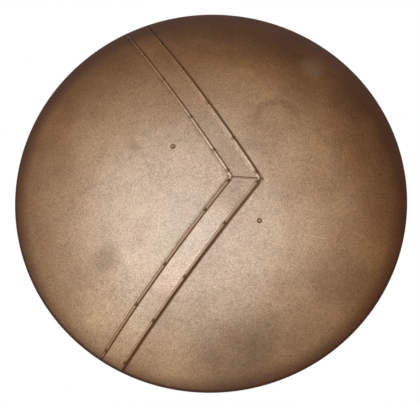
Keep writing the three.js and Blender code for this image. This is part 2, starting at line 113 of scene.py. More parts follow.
def moved(points, matrix):
    p = np.asarray(points, float).reshape(-1, 3)
    m = np.asarray(matrix, float)
    return p @ m[:3, :3].T + m[:3, 3]


def turn(axis, angle):
    return np.array(Matrix.Rotation(angle, 4, axis))


def shift(x, y, z):
    return np.array(Matrix.Translation((x, y, z)))


STRAP_FRAME = turn("Z", STRAP_ANGLE)
SEAT_HEIGHT = CENTRE + INNER * math.cos(GRIP_TILT)
GRIP_FRAME = STRAP_FRAME @ shift(0, GRIP_RADIUS, SEAT_HEIGHT) @ turn("X", -GRIP_TILT)
SWING_FRAME = GRIP_FRAME @ shift(0, 0, -PIVOT_DROP) @ turn("X", GRIP_TILT)


def smooth_step(low, high, x):
    t = np.clip((x - low) / (high - low), 0, 1)
    return t * t * (3 - 2 * t)


# Shallow dents and swellings of the sheet, as (x, y, reach along, reach across, angle, height)
DENTS = (
    (97, 128, 34, 9, -32, -0.75),
    (132, 103, 26, 12, -52, 0.45),
    (156, 178, 46, 10, -66, 0.6),
    (170, 150, 40, 13, -60, -0.4),
    (-147, -121, 26, 20, 20, -0.35),
    (-112, 45, 9, 6, 0, -0.2),
    (-60, -190, 30, 16, 35, -0.3),
    (60, -150, 34, 20, 10, 0.3),
)
# Long waves of the sheet, as (height, length, heading, phase)
WAVES = (
    (0.16, 58, 0.4, 0.2), (0.13, 83, 1.9, 1.1), (0.11, 41, 2.7, 2.3),
    (0.09, 104, 0.9, 3.3), (0.07, 31, 2.2, 4.1),
)


def sheet_wave(x, y):
    """Lift of the sheet off its true sphere at a place in plan, which dies away before the rim."""
    total = np.zeros_like(np.asarray(x, float))
    for height, length, heading, phase in WAVES:
        along = np.asarray(x) * math.cos(heading) + np.asarray(y) * math.sin(heading)
        total = total + height * np.sin(2 * math.pi * along / length + phase)
    for dx, dy, long_reach, cross_reach, angle, height in DENTS:
        a = math.radians(angle)
        u = (x - dx) * math.cos(a) + (y - dy) * math.sin(a)
        v = -(x - dx) * math.sin(a) + (y - dy) * math.cos(a)
        total = total + height * np.exp(-((u / long_reach) ** 2) - (v / cross_reach) ** 2)
    return total * (1 - smooth_step(262, 296, np.hypot(x, y)))


# Planishing blows on the inner face: how far apart they are, and the height of the ridges between them
BLOW, BLOW_RIDGE = 17.0, 0.75


def blow_ridges(x, y):
    """Height of the low ridges that planishing blows leave between them on the inner face."""
    column, row = np.floor(x / BLOW), np.floor(y / BLOW)
    nearest = np.full_like(x, 9.0)
    for i in (-1, 0, 1):
        for j in (-1, 0, 1):
            a, b = column + i, row + j
            mark = np.sin(np.stack([a * 127.1 + b * 311.7, a * 269.5 + b * 183.3])) * 43758.5
            blow_x, blow_y = 0.15 + 0.7 * (mark - np.floor(mark))
            off_x, off_y = x / BLOW - column - i - blow_x, y / BLOW - row - j - blow_y
            nearest = np.minimum(nearest, np.hypot(off_x, off_y))
    return BLOW_RIDGE * nearest**2 * (1 - smooth_step(272, 298, np.hypot(x, y)))


def normal_at(x, y, radius=DOME):
    """Outward normal of a sphere about the dish's centre, over a place in plan."""
    x, y = np.asarray(x, float), np.asarray(y, float)
    return np.stack([x, y, np.sqrt(radius**2 - x**2 - y**2)], axis=-1) / radius


def on_face(x, y, height):
    """Point a height off the bowl's outer face, over a place in plan on the true sphere."""
    n = normal_at(x, y)
    reach = DOME + np.asarray(height) + sheet_wave(x, y)
    p = n * np.asarray(reach)[..., None]
    p[..., 2] += CENTRE
    return p


def face_frame(x, y, radius=DOME):
    """Frame on the bowl's outer face, with +Z along the outward normal."""
    n = Vector(normal_at(x, y, radius))
    place = n * (DOME + float(sheet_wave(x, y)))
    place.z += CENTRE
    return np.array(Matrix.Translation(place) @ Vector((0, 0, 1)).rotation_difference(n).to_matrix().to_4x4())


# Mesh builders

def circle(radius, angles, height):
    """Points round the Z axis at a height, or at a height for each angle."""
    return np.column_stack([radius * np.cos(angles), radius * np.sin(angles), height + np.zeros_like(angles)])


def angles_round(count):
    return 2 * math.pi * np.arange(count) / count


def grid_faces(rows, columns, round_columns=False, round_rows=False):
    """Four-sided faces of a grid of points, which may join up round its columns or its rows."""
    faces = []
    for i in range(rows if round_rows else rows - 1):
        for j in range(columns if round_columns else columns - 1):
            k, m = (i + 1) % rows, (j + 1) % columns
            corners = ((i, j), (i, m), (k, m), (k, j))
            faces.append([row * columns + column for row, column in corners])
    return faces


def end_faces(rows, columns):
    """Faces that close the first and the last row of a grid that is round."""
    last = (rows - 1) * columns
    return [list(range(columns)), [last + j for j in range(columns - 1, -1, -1)]]


class Shape:
    """Points and faces gathered for one mesh."""

    def __init__(self):
        self.points, self.faces, self.count = [], [], 0

    def add(self, points, faces, matrix=None):
        points = np.asarray(points, float).reshape(-1, 3)
        self.faces += [[self.count + i for i in face] for face in faces]
        self.points.append(points if matrix is None else moved(points, matrix))
        self.count += len(points)
        return self

    def lathe(self, profile, sides, matrix=None, closed=False):
        """Round piece about +Z, from (radius, height) pairs. A pair with no radius is a pole."""
        rings, points = [], []
        for radius, height in profile:
            if radius < 1e-9:
                rings.append([len(points)])
                points.append((0, 0, height))
                continue
            rings.append(list(range(len(points), len(points) + sides)))
            for j in range(sides):
                a = 2 * math.pi * j / sides
                points.append((radius * math.cos(a), radius * math.sin(a), height))
        faces = []
        pairs = list(zip(rings, rings[1:]))
        if closed:
            pairs.append((rings[-1], rings[0]))
        for a, b in pairs:
            for j in range(sides):
                k = (j + 1) % sides
                if len(a) == 1 and len(b) > 1:
                    faces.append([a[0], b[j], b[k]])
                elif len(b) == 1 and len(a) > 1:
                    faces.append([a[j], b[0], a[k]])
                elif len(a) > 1:
                    faces.append([a[j], b[j], b[k], a[k]])
        return self.add(points, faces, matrix)

    def tube(self, path, radius, sides, matrix=None, round_path=False):
        """Round rod along a path, closed at both ends unless the path is a ring."""
        path = np.asarray(path, float)
        n = len(path)
        radii = np.broadcast_to(np.asarray(radius, float), (n,))
        rows, up, a = [], np.array((0.0, 0.0, 1.0)), angles_round(sides)
        for i in range(n):
            before = path[(i - 1) % n] if round_path or i else path[0]
            after = path[(i + 1) % n] if round_path or i < n - 1 else path[-1]
            run = (after - before) / np.linalg.norm(after - before)
            side = np.cross(up, run)
            side /= np.linalg.norm(side)
            lift = np.cross(run, side)
            rows.append(path[i] + radii[i] * (np.outer(np.cos(a), side) + np.outer(np.sin(a), lift)))
        points = np.concatenate(rows)
        faces = grid_faces(n, sides, round_columns=True, round_rows=round_path)
        if not round_path:
            points = np.vstack([points, path[0], path[-1]])
            first, last = n * sides, n * sides + 1
            faces += [[first, (j + 1) % sides, j] for j in range(sides)]
            faces += [[last, (n - 1) * sides + j, (n - 1) * sides + (j + 1) % sides] for j in range(sides)]
        return self.add(points, faces, matrix)


def piece(name, shape, materials, stands_for=None, body="shield", sharp=42, values=None, kinds=None):
    """Object from a shape in the dish frame, which rides on a body and may replace a node of the frame."""
    mesh = bpy.data.meshes.new(name)
    mesh.from_pydata(dish_to_row(np.concatenate(shape.points)).tolist(), [], shape.faces)
    for each in materials if isinstance(materials, list) else [materials]:
        mesh.materials.append(each)
    if kinds is not None:
        mesh.polygons.foreach_set("material_index", np.array(kinds, np.int32))
    tidy = bmesh.new()
    tidy.from_mesh(mesh)
    bmesh.ops.remove_doubles(tidy, verts=tidy.verts, dist=1e-6)
    bmesh.ops.recalc_face_normals(tidy, faces=tidy.faces)
    tidy.to_mesh(mesh)
    tidy.free()
    mesh.polygons.foreach_set("use_smooth", np.ones(len(mesh.polygons), bool))
    mesh.set_sharp_from_angle(angle=math.radians(sharp))
    if values:
        co = np.zeros(len(mesh.vertices) * 3)
        mesh.vertices.foreach_get("co", co)
        for key, function in values.items():
            wear = mesh.attributes.new(key, "FLOAT", "POINT")
            wear.data.foreach_set("value", function(row_to_dish(co.reshape(-1, 3))).astype(np.float32))
    obj = bpy.data.objects.new(name, mesh)
    bpy.context.scene.collection.objects.link(obj)
    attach(obj, body)
    if stands_for:
        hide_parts(stands_for)
    # Blender adds a number to a material's name where the frame already has that name
    return obj


# Camera at the photograph's viewing angle: its place, and the directions to its right and up
CAMERA_PLACE = Vector((0.04962, -1.39452, -0.39690))
CAMERA_RIGHT = Vector((0.998451, 0.028769, 0.047619))
CAMERA_UP = Vector((-0.038421, -0.262481, 0.964172))
CAMERA_LENS, SENSOR_WIDTH = 82.53, 36

camera_data = bpy.data.cameras.new("camera")
camera_data.lens = CAMERA_LENS
camera_data.sensor_width = SENSOR_WIDTH
camera_data.clip_start, camera_data.clip_end = 0.05, 60
camera = bpy.data.objects.new("camera", camera_data)
bpy.context.scene.collection.objects.link(camera)
camera_back = CAMERA_RIGHT.cross(CAMERA_UP)
camera_turn = Matrix((CAMERA_RIGHT, CAMERA_UP, camera_back)).transposed()
camera.matrix_world = Matrix.Translation(CAMERA_PLACE) @ camera_turn.to_4x4()
bpy.context.scene.camera = camera


# Materials

class Value:
    """Output of a node. Arithmetic with it adds a node and gives that one's output."""

    def __init__(self, shader, socket):
        self.shader, self.socket = shader, socket

    def __add__(self, other):
        return self.shader.math("ADD", self, other)

    def __sub__(self, other):
        return self.shader.math("SUBTRACT", self, other)

    def __rsub__(self, other):
        return self.shader.math("SUBTRACT", other, self)

    def __mul__(self, other):
        return self.shader.math("MULTIPLY", self, other)

    def __abs__(self):
        return self.shader.math("ABSOLUTE", self)


class Shader:
    """One material and the nodes that make it."""

    def __init__(self, name):
        self.material = bpy.data.materials.new(name)
        self.material.use_nodes = True
        self.tree = self.material.node_tree
        self.shader = self.tree.nodes["Principled BSDF"]
        self.place = Value(self, self.node("ShaderNodeTexCoord").outputs["Object"])

    def node(self, kind, **settings):
        made = self.tree.nodes.new(kind)
        for key, value in settings.items():
            setattr(made, key, value)
        return made

    def put(self, value, socket):
        if isinstance(value, Value):
            self.tree.links.new(value.socket, socket)
        else:
            socket.default_value = value

    def set(self, **inputs):
        for key, value in inputs.items():
            self.put(value, self.shader.inputs[key.replace("_", " ")])

    def math(self, operation, a, b=0.0, c=0.0):
        made = self.node("ShaderNodeMath", operation=operation)
        for value, socket in zip((a, b, c), made.inputs):
            self.put(value, socket)
        return Value(self, made.outputs[0])

    def most(self, a, b):
        return self.math("MAXIMUM", a, b)

    def scaled(self, value, factor, added):
        """A value times a factor, with something added."""
        return self.math("MULTIPLY_ADD", value, factor, added)

    def range(self, value, low, high, out_low=0.0, out_high=1.0):
        """Smooth step between two values, from one outcome to another."""
        made = self.node("ShaderNodeMapRange", clamp=True, interpolation_type="SMOOTHSTEP")
        for item, socket in zip((value, low, high, out_low, out_high), made.inputs):
            self.put(item, socket)
        return Value(self, made.outputs[0])

    def fall(self, value, low, high):
        return self.range(value, low, high, 1.0, 0.0)

    def noise(self, size, detail=2.0, rough=0.5, twist=0.0, place=None):
        made = self.node("ShaderNodeTexNoise")
        self.put(place or self.place, made.inputs["Vector"])
        made.inputs["Scale"].default_value = 1000 / size
        made.inputs["Detail"].default_value = detail
        made.inputs["Roughness"].default_value = rough
        made.inputs["Distortion"].default_value = twist
        return Value(self, made.outputs["Fac"])

    def cells(self, size, feature="F1", place=None, random=1.0):
        made = self.node("ShaderNodeTexVoronoi", feature=feature)
        self.put(place or self.place, made.inputs["Vector"])
        made.inputs["Scale"].default_value = 1000 / size
        made.inputs["Randomness"].default_value = random
        return Value(self, made.outputs["Distance"])

    def mix(self, share, a, b, blend="MIX"):
        made = self.node("ShaderNodeMix", data_type="RGBA", blend_type=blend, clamp_factor=True)
        self.put(share, made.inputs["Factor"])
        for value, socket in zip((a, b), (made.inputs[6], made.inputs[7])):
            self.put((*value, 1.0) if isinstance(value, tuple) else value, socket)
        return Value(self, made.outputs[2])

    def bump(self, height, strength, distance, under=None):
        made = self.node("ShaderNodeBump")
        made.inputs["Strength"].default_value = strength
        made.inputs["Distance"].default_value = distance / 1000
        self.put(height, made.inputs["Height"])
        if under is not None:
            self.put(under, made.inputs["Normal"])
        return Value(self, made.outputs["Normal"])

    def tinted(self, share, colour, factors):
        """Share of the way from a colour to that colour times three factors."""
        return self.mix(share, colour, self.mix(1.0, colour, factors, "MULTIPLY"))

    def graded(self, tone, low, middle, high, deep, mid, pale):
        """Colour that goes from a deep one through a middle one to a pale one as a tone rises."""
        colour = self.mix(self.range(tone, low, middle), deep, mid)
        return self.mix(self.range(tone, middle, high), colour, pale)

    def find_plan(self):
        """Sets right and up, the place in plan on the face in millimetres from the shield's axis."""
        split = self.node("ShaderNodeSeparateXYZ")
        self.put(self.place, split.inputs[0])
        self.right = self.scaled(Value(self, split.outputs["X"]), 1000.0, -AXIS_X)
        self.up = self.scaled(Value(self, split.outputs["Z"]), 1000.0, -AXIS_Z)

    def value(self, name):
        return Value(self, self.node("ShaderNodeAttribute", attribute_name=name).outputs["Fac"])


def distance(s, x=0.0, y=0.0):
    """Distance in plan from a place on the face."""
    dx, dy = s.right - x, s.up - y
    return s.math("SQRT", s.scaled(dx, dx, dy * dy))


def spot(s, x, y, inner, outer):
    """1 inside a round place on the face, falling softly to 0 outside it."""
    return s.fall(distance(s, x, y), inner, outer)


def ring(s, x, y, radius, width):
    """1 along a circle on the face, falling softly to 0 on both sides of it."""
    return s.fall(abs(distance(s, x, y) - radius), 0.0, width)


def stroke(s, x, y, angle, length, width):
    """1 along a thin straight mark that starts at a place on the face."""
    c, n = math.cos(math.radians(angle)), math.sin(math.radians(angle))
    dx, dy = s.right - x, s.up - y
    along = s.scaled(dx, c, dy * n)
    across = s.scaled(dx, -n, dy * c)
    ends = s.fall(abs(along - length / 2), length * 0.3, length / 2)
    return s.fall(abs(across), width / 4, width) * ends


def off_limb(s):
    """Signed distance in plan from the middle line of the nearer limb, growing towards its outer edge."""
    return s.scaled(s.right, math.cos(LIMB_ANGLE), abs(s.up) * math.sin(LIMB_ANGLE)) - LIMB_OFFSET


# Antiqued finish of the face, from its rubbed middle out to the dark rim: the pale middle, set low and left
# of the axis, is partly rubbed finish and partly painted highlight, and the dark rim partly antiquing and
# partly painted shade
WORN_AND_LIT_PLACE, WORN_AND_LIT_REACH = (-30.0, -70.0), 340.0
WORN_AND_LIT_STEPS = (
    (0.0, (0.415, 0.330, 0.255)), (0.29, (0.480, 0.353, 0.258)), (0.40, (0.455, 0.320, 0.218)),
    (0.515, (0.382, 0.245, 0.147)), (0.66, (0.290, 0.167, 0.086)), (0.81, (0.180, 0.086, 0.034)),
    (1.0, (0.080, 0.028, 0.006)),
)
# Distances from the middle of the face between which it darkens to the rim, partly by antiquing and partly by
# painted shade; its edge turns dark, with painted shade of the curl and grime; and a pale painted highlight
# on the chevron dies away
RIM_FADE, EDGE_FADE, PALE_FADE = (282.0, 310.0), (301.0, 303.4), (262.0, 296.0)
# Dark of the rim and its edge; dark of grime together with painted shade; a mid-brown that holds the lower
# limb's trims down in painted shade; pale of bare metal and of painted highlights
RIM_DARK, SOOT_AND_SHADE = (0.058, 0.018, 0.006), (0.114, 0.044, 0.011)
TAN, PALE = (0.36, 0.190, 0.085), (0.56, 0.44, 0.33)
FACE_METAL, RIM_METAL, DIRT_AND_SHADE_METAL, FACE_IOR = 0.25, 0.85, 0.55, 1.36
# Mottle from and to, and the roughness that they give the trims and rivet heads
SATIN = (0.3, 0.7, 0.36, 0.5)

# Places in plan of the forearm band's rivets and of the grip's lugs
RIVET_SPOTS, LUG_SPOTS = ((-53.6, 45.2), (77.8, -61.6)), ((95, 190), (160, 118))

# Marks on the face, as (x, y, inner reach, outer reach, share), in millimetres: darker spots, and lighter
# ones that are partly rubbed places and partly painted highlights and glints
DARK_MARKS = (
    (-145, -122, 8, 30, 0.44), (-114, 46, 3, 11, 0.42), (-104, 43, 1, 6, 0.28), (-86, -70, 4, 22, 0.14),
    (-103, -99, 4, 22, 0.14), (50, -252, 20, 70, 0.44), (92, -225, 14, 60, 0.36), (62, 57, 6, 30, 0.18),
    (78, 44, 4, 26, 0.14), (204, -55, 3, 30, 0.10), (-228, 8, 5, 34, 0.12), (280, 100, 6, 44, 0.40),
    (130, -130, 10, 54, 0.14), (-25, 95, 20, 80, 0.15), (225, 152, 14, 60, 0.24), (195, -135, 16, 60, 0.28),
    (122, 264, 8, 40, 0.30), (105, -15, 10, 50, 0.14), (270, -30, 8, 44, 0.14),
)
RUBBED_AND_SHEEN_MARKS = (
    (180, 212, 12, 58, 0.50), (172, 153, 5, 24, 0.20), (-177, 168, 3, 16, 0.30), (70, 164, 16, 64, 0.34),
    (8, 190, 6, 42, 0.16), (172, 99, 10, 50, 0.16), (123, -250, 8, 34, 0.20), (-165, -192, 10, 48, 0.44),
    (-68, -236, 6, 36, 0.20), (98, 100, 4, 17, 0.18), (-100, -142, 20, 76, 0.22), (-20, -150, 8, 40, 0.16),
    (60, -120, 8, 50, 0.10), (-160, 60, 8, 40, 0.10), (-128, -228, 12, 70, 0.44), (-45, -266, 6, 44, 0.46),
    (268, -92, 10, 50, 0.36), (206, -190, 10, 50, 0.30), (190, 40, 10, 50, 0.16), (135, 50, 12, 56, 0.26),
    (-262, 98, 8, 44, 0.55), (-200, 72, 10, 50, 0.24), (-118, 222, 8, 44, 0.34),
)


def grainy(s, colour, amount=1.0):
    """Breaks a colour up with soft clouds, a mottle and fine speckles, and gives it slight casts of hue."""
    patch, mottle = s.noise(34, 3.0, 0.55, 0.4), s.noise(7, 3.0, 0.6)
    grain, speckle = s.noise(2.6, 2.0, 0.65), s.noise(1.7, 1.0, 0.6)
    soft = s.scaled(patch, 0.42 * amount, mottle * (0.52 * amount))
    fine = s.scaled(grain, 0.36 * amount, speckle * (1.5 * amount))
    light = soft + fine + (1.0 - 1.40 * amount)
    colour = s.mix(1.0, colour, light, "MULTIPLY")
    cast = s.noise(46, 2.0, 0.5, 0.3)
    colour = s.tinted(s.range(cast, 0.54, 0.72, 0.0, 0.35), colour, (1.05, 0.94, 0.97))
    colour = s.tinted(s.range(cast, 0.46, 0.28, 0.0, 0.35), colour, (0.95, 1.02, 0.93))
    return colour, patch, mottle, grain


def antique_and_painted_light(name):
    """Shader with the face's antiqued bronze, worn pale in the middle and dark at the rim, the pale middle
    partly a painted highlight and the dark rim partly painted shade.

    Returns it with its colour, how metallic it is, and its mottle and grain.
    """
    s = Shader(name)
    s.find_plan()
    wander = s.scaled(s.noise(90, 2.0, 0.55), 44.0, distance(s, *WORN_AND_LIT_PLACE))
    steps = s.node("ShaderNodeValToRGB")
    elements = steps.color_ramp.elements
    while len(elements) < len(WORN_AND_LIT_STEPS):
        elements.new(0.5)
    for element, (share, colour) in zip(elements, WORN_AND_LIT_STEPS):
        element.position = share
        element.color = (*colour, 1.0)
    s.put(s.math("DIVIDE", wander - 22.0, WORN_AND_LIT_REACH), steps.inputs["Fac"])
    colour = Value(s, steps.outputs["Color"])
    # Darker spots, then lighter spots that are partly rubbed places and partly painted highlights and glints,
    # whitened as a sheen is
    for marks, tint in ((DARK_MARKS, (0.42, 0.36, 0.32)), (RUBBED_AND_SHEEN_MARKS, (1.55, 1.62, 1.70))):
        for *place, share in marks:
            colour = s.tinted(spot(s, *place) * share, colour, tint)
    colour, patch, mottle, grain = grainy(s, colour)
    radius = distance(s)
    # The rim darkens, partly antiquing and partly painted shade, which reaches further in at the top and less
    # far in at the lower middle, from how the light falls
    lean = s.range(s.up, -240.0, -60.0, -8.0, 0.0) * s.range(s.right, -60.0, 60.0, 1.0, 0.1)
    lean = lean + s.range(s.up, 0.0, 200.0, 0.0, 7.0)
    uneven = s.scaled(patch, 12.0, radius + lean)
    colour = s.mix(s.range(uneven, *RIM_FADE, 0.0, 0.8), colour, RIM_DARK)
    # A dark line at the very edge: painted shade of the curl, with grime
    edge = s.range(s.scaled(grain, 1.6, radius), *EDGE_FADE, 0.0, 0.92)
    metal = s.range(wander - 22.0, 190.0, 320.0, FACE_METAL, RIM_METAL)
    return s, s.mix(edge, colour, RIM_DARK), metal, mottle, grain


def skin(s, grain, mottle, strength=1.0):
    """Fine pebbled skin of the paint over slightly uneven sheet."""
    pebble = s.cells(2.3, "SMOOTH_F1")
    pebbled = s.scaled(pebble, 0.7, grain * 0.6)
    broad = s.bump(mottle, 0.3 * strength, 0.3)
    middle = s.bump(pebbled, 0.8 * strength, 0.28, broad)
    return s.bump(s.noise(0.9, 1.0, 0.5), 0.3 * strength, 0.09, middle)


def soot_and_shade(s, colour):
    """Dark of grime and painted shade over a colour, deeper where the finish itself is dark."""
    return s.mix(1.0, s.mix(1.0, colour, (0.46, 0.36, 0.28), "MULTIPLY"), SOOT_AND_SHADE, "DARKEN")


def dirty_and_shaded(s, colour, metal, rough, dirt_and_shade):
    """Sets a finish with dull dark grime and painted shade over it, by their share, and returns the colour.
    """
    dull = s.mix(dirt_and_shade, colour, soot_and_shade(s, colour))
    s.set(Base_Color=dull, Metallic=s.most(metal, dirt_and_shade * DIRT_AND_SHADE_METAL))
    s.set(Roughness=s.most(rough, dirt_and_shade * 0.85), IOR=FACE_IOR)
    return dull


def trim_dirt_and_shade(s, beyond, grain):
    """Share of painted shadow and grime beside the trims: in a broad line on their far side, away from the
    light, and a thin one in the crease on their near side.
    """
    dirt_and_shade = None
    for middle, near, far in ((-TRIM_SPACING / 2, 0.55, 0.7), (TRIM_SPACING / 2, 0.0, 2.3)):
        across = beyond - middle - s.scaled(grain, 0.8, -0.4)
        high = s.range(across, TRIM_WIDTH / 2 + far * 0.7, TRIM_WIDTH / 2 + far, 0.92, 0.0)
        low = s.range(across, -TRIM_WIDTH / 2 - 0.7, -TRIM_WIDTH / 2 - 0.1, 0.0, near)
        here = s.math("MINIMUM", high, s.most(low, s.range(across, 0.0, 1.0)))
        dirt_and_shade = here if dirt_and_shade is None else s.most(dirt_and_shade, here)
    return dirt_and_shade


def face_bronze():
    """Outer face of the bowl, with its worn places, painted highlights and painted shade as the photograph
    shows them.
    """
    s, colour, metal, mottle, grain = antique_and_painted_light("face_bronze")
    # A faint arch, a small ring, painted shade and grime round the feet of the forearm rivets, and painted
    # shade and grime along the foot of the chevron's edges
    arch = ring(s, 100, 96, 33, 10) * spot(s, 90, 118, 30, 54)
    marks = [(arch, 0.28), (ring(s, -35, 70, 3.4, 1.2), 0.3)]
    marks += [(ring(s, x, y, 3.9, 0.9), 0.3) for x, y in RIVET_SPOTS]
    beyond = abs(off_limb(s))
    beside = s.range(beyond - grain * 1.2, LIMB_HALF - 1.4, LIMB_HALF + 0.4)
    lip = beside * s.fall(beyond, LIMB_HALF + 0.4, LIMB_HALF + 2.0)
    marks.append((lip, 0.2))
    for here, share in marks:
        colour = s.tinted(here * share, colour, (0.30, 0.22, 0.17))
    # Scratches and rubbed spots that show paler metal
    shine = (
        (stroke(s, 137, -77, -2, 46, 0.7), 0.4), (stroke(s, 212, -60, -24, 30, 0.6), 0.25),
        (stroke(s, 20, 190, -38, 22, 0.5), 0.25), (stroke(s, -30, -226, 4, 34, 0.6), 0.25),
        (spot(s, 152, 204, 3, 28), 0.07), (spot(s, -156, -163, 0.8, 2.0), 0.8),
    )
    for here, share in shine:
        colour = s.mix(here * share, colour, PALE)
    s.set(Base_Color=colour, Metallic=metal, IOR=FACE_IOR)
    s.set(Roughness=s.range(mottle + grain * 0.5, 0.5, 1.0, 0.42, 0.54))
    s.set(Normal=skin(s, grain, mottle))
    return s.material


def inside_bronze():
    """Inner face of the bowl: the same brown over planishing marks, duller and darker towards the curl."""
    s = Shader("inside_bronze")
    s.find_plan()
    tone = s.noise(120, 3.0, 0.6)
    browns = (0.165, 0.092, 0.048), (0.215, 0.125, 0.068), (0.280, 0.174, 0.104)
    colour = s.graded(tone, 0.34, 0.50, 0.66, *browns)
    colour, patch, mottle, grain = grainy(s, colour, 0.55)
    radius = distance(s)
    colour = s.mix(s.range(s.scaled(patch, 20.0, radius), 270.0, 318.0, 0.0, 0.75), colour, SOOT_AND_SHADE)
    streak = s.range(s.noise(60, 4.0, 0.6, 1.2), 0.55, 0.72, 0.0, 0.4)
    colour = s.mix(streak, colour, (0.23, 0.135, 0.075))
    for (x, y), reach in zip(RIVET_SPOTS + LUG_SPOTS, (9, 9, 22, 22)):
        colour = s.mix(spot(s, x, y, reach * 0.6, reach * 1.7) * 0.5, colour, SOOT_AND_SHADE)
    s.set(Base_Color=colour, Metallic=0.6, IOR=1.45)
    s.set(Roughness=s.range(mottle, 0.3, 0.7, 0.34, 0.52))
    blows = s.cells(BLOW, "SMOOTH_F1", random=0.85)
    hammered = s.bump(blows, 0.45, 2.2)
    low = s.bump(mottle, 0.3, 0.3, hammered)
    s.set(Normal=s.bump(grain, 0.4, 0.2, low))
    return s.material


def band_bronze():
    """Strip of the chevron, finished as the bowl is, with painted shadow and grime beside its trims and
    painted shade and grime in its mitre.
    """
    s, colour, metal, mottle, grain = antique_and_painted_light("band_bronze")
    # Darker towards the chevron's point, a painted highlight down its lower limb, and a painted highlight in
    # a stripe along the lit side of the outer trim
    tip = s.range(abs(s.up - 10.0), 24.0, 80.0, 0.32, 0.0)
    colour = s.tinted(tip, colour, (0.46, 0.42, 0.38))
    colour = s.tinted(s.range(s.up, -110.0, -30.0, 0.26, 0.0), colour, (1.5, 1.58, 1.7))
    stripe = off_limb(s) - (TRIM_SPACING / 2 - TRIM_WIDTH / 2)
    stripe = s.range(stripe, -3.2, -0.8) * s.range(s.up, 0.0, 12.0, 0.0, 0.85)
    stripe = stripe * s.fall(distance(s), *PALE_FADE)
    colour = s.tinted(stripe, colour, (1.35, 1.40, 1.45))
    off_mitre = abs(s.up)
    # Painted shadow and grime beside the trims, and painted shade and grime in the mitre's gap
    beside = trim_dirt_and_shade(s, off_limb(s), grain) * s.range(off_mitre, 2.0, 9.0)
    dirt_and_shade = s.most(beside, s.range(off_mitre, 1.0, 1.9, 0.9, 0.0))
    dirty_and_shaded(s, colour, metal, s.range(mottle, 0.3, 0.7, 0.40, 0.54), dirt_and_shade)
    s.set(Normal=skin(s, grain, mottle, 0.9))
    return s.material


def lower_limb(s):
    """1 on the chevron's lower limb and 0 on its upper one."""
    return s.fall(s.up, -8.0, 0.0)


def beside_trim(s):
    """Signed distance in plan from the middle of the nearest trim, and 1 where that is an outer one."""
    beyond = off_limb(s)
    inner = beyond + TRIM_SPACING / 2
    outer = beyond - TRIM_SPACING / 2
    pick = s.math("GREATER_THAN", beyond, 0.0)
    return s.scaled(pick, outer, (1.0 - pick) * inner), pick


def trim_bronze():
    """Half-round trim: a painted highlight along its crest on the lit side, painted shade down its far side,
    and painted shade and grime round its rivets.
    """
    s, colour, metal, mottle, grain = antique_and_painted_light("trim_bronze")
    across, pick = beside_trim(s)
    across = across - s.scaled(grain, 0.7, -0.35)
    low_limb = lower_limb(s)
    inner = 1.0 - pick
    # Painted highlight along the crest on the side that faces the light, fainter on the lower limb and gone
    # at the rim
    crest = s.range(across, -2.9, -1.9) * s.fall(across, -0.5, 0.1)
    crest = crest * s.fall(distance(s), 262.0, 298.0)
    corner = s.range(abs(s.up), 2.0, 8.0, 0.3, 0.0)
    pale = crest * s.scaled(low_limb, -0.55, corner + 0.6)
    colour = s.tinted(pale, colour, (1.7, 1.85, 2.0))
    # Painted shade: on the lower limb, which the light runs along, the trims are held down to a mid-brown,
    # the inner ones more
    colour = s.mix(low_limb * s.scaled(inner, 0.2, 0.35), colour, TAN, "DARKEN")
    # Painted shade in the crease at the near foot, painted shadow and grime down the far side, away from the
    # light, and grime and painted shade round the rivets
    near = s.scaled(low_limb, -0.35, across)
    foot = s.fall(near, -2.5, -1.9) * s.scaled(pick, -0.7, 0.88)
    start = low_limb * s.scaled(inner, 0.2, 0.6)
    full = s.scaled(inner, -0.22, 0.95) * s.range(s.up, -130.0, -50.0, 1.0, 0.78)
    far = s.range(across - start, -0.3, 0.4) * full
    dirt_and_shade = s.most(s.most(foot, far), s.value("riveted") * 0.8)
    dirty_and_shaded(s, colour, metal, s.range(mottle, *SATIN), dirt_and_shade)
    s.set(Normal=s.bump(grain, 0.4, 0.12, s.bump(mottle, 0.3, 0.3)))
    return s.material


def trim_rivet_bronze():
    """Heads of the trim rivets, with a painted highlight on the near side and painted shade with grime over
    the head, deepest down the far side and round the foot.
    """
    s, colour, metal, mottle, grain = antique_and_painted_light("trim_rivet_bronze")
    across, _ = beside_trim(s)
    top = s.value("crown")
    low_limb = lower_limb(s)
    # Painted highlight on the side of the head that faces the light, on the upper limb only
    lit = s.range(across, -2.4, -1.8) * s.fall(across, -1.3, -0.7)
    lit = lit * s.scaled(low_limb, -0.75, 0.75)
    # Painted shade and grime over the whole head, deeper down the far side, away from the light, and round
    # the foot
    dirt_and_shade = s.most(s.range(across, -1.4, 0.2, 0.62, 0.95), s.range(top, 0.15, 0.4, 0.95, 0.0))
    dull = dirty_and_shaded(s, colour, metal, s.range(mottle, *SATIN), dirt_and_shade)
    s.set(Base_Color=s.mix(lit, dull, PALE))
    s.set(Normal=s.bump(grain, 0.4, 0.1))
    return s.material


def arm_rivet_bronze():
    """Heads of the two forearm rivets: finished over with the face and rubbed on top, with painted shade and
    grime round the foot.
    """
    s, colour, metal, mottle, grain = antique_and_painted_light("arm_rivet_bronze")
    top = s.value("crown")
    # Painted shade and grime over the outer part of the head down to its foot
    rim = s.range(s.scaled(grain, 0.2, top), 0.6, 0.86, 0.92, 0.3) * s.range(top, 0.04, 0.2)
    dirty_and_shaded(s, colour, metal, s.range(mottle, *SATIN), rim)
    s.set(Normal=s.bump(grain, 0.4, 0.1))
    return s.material


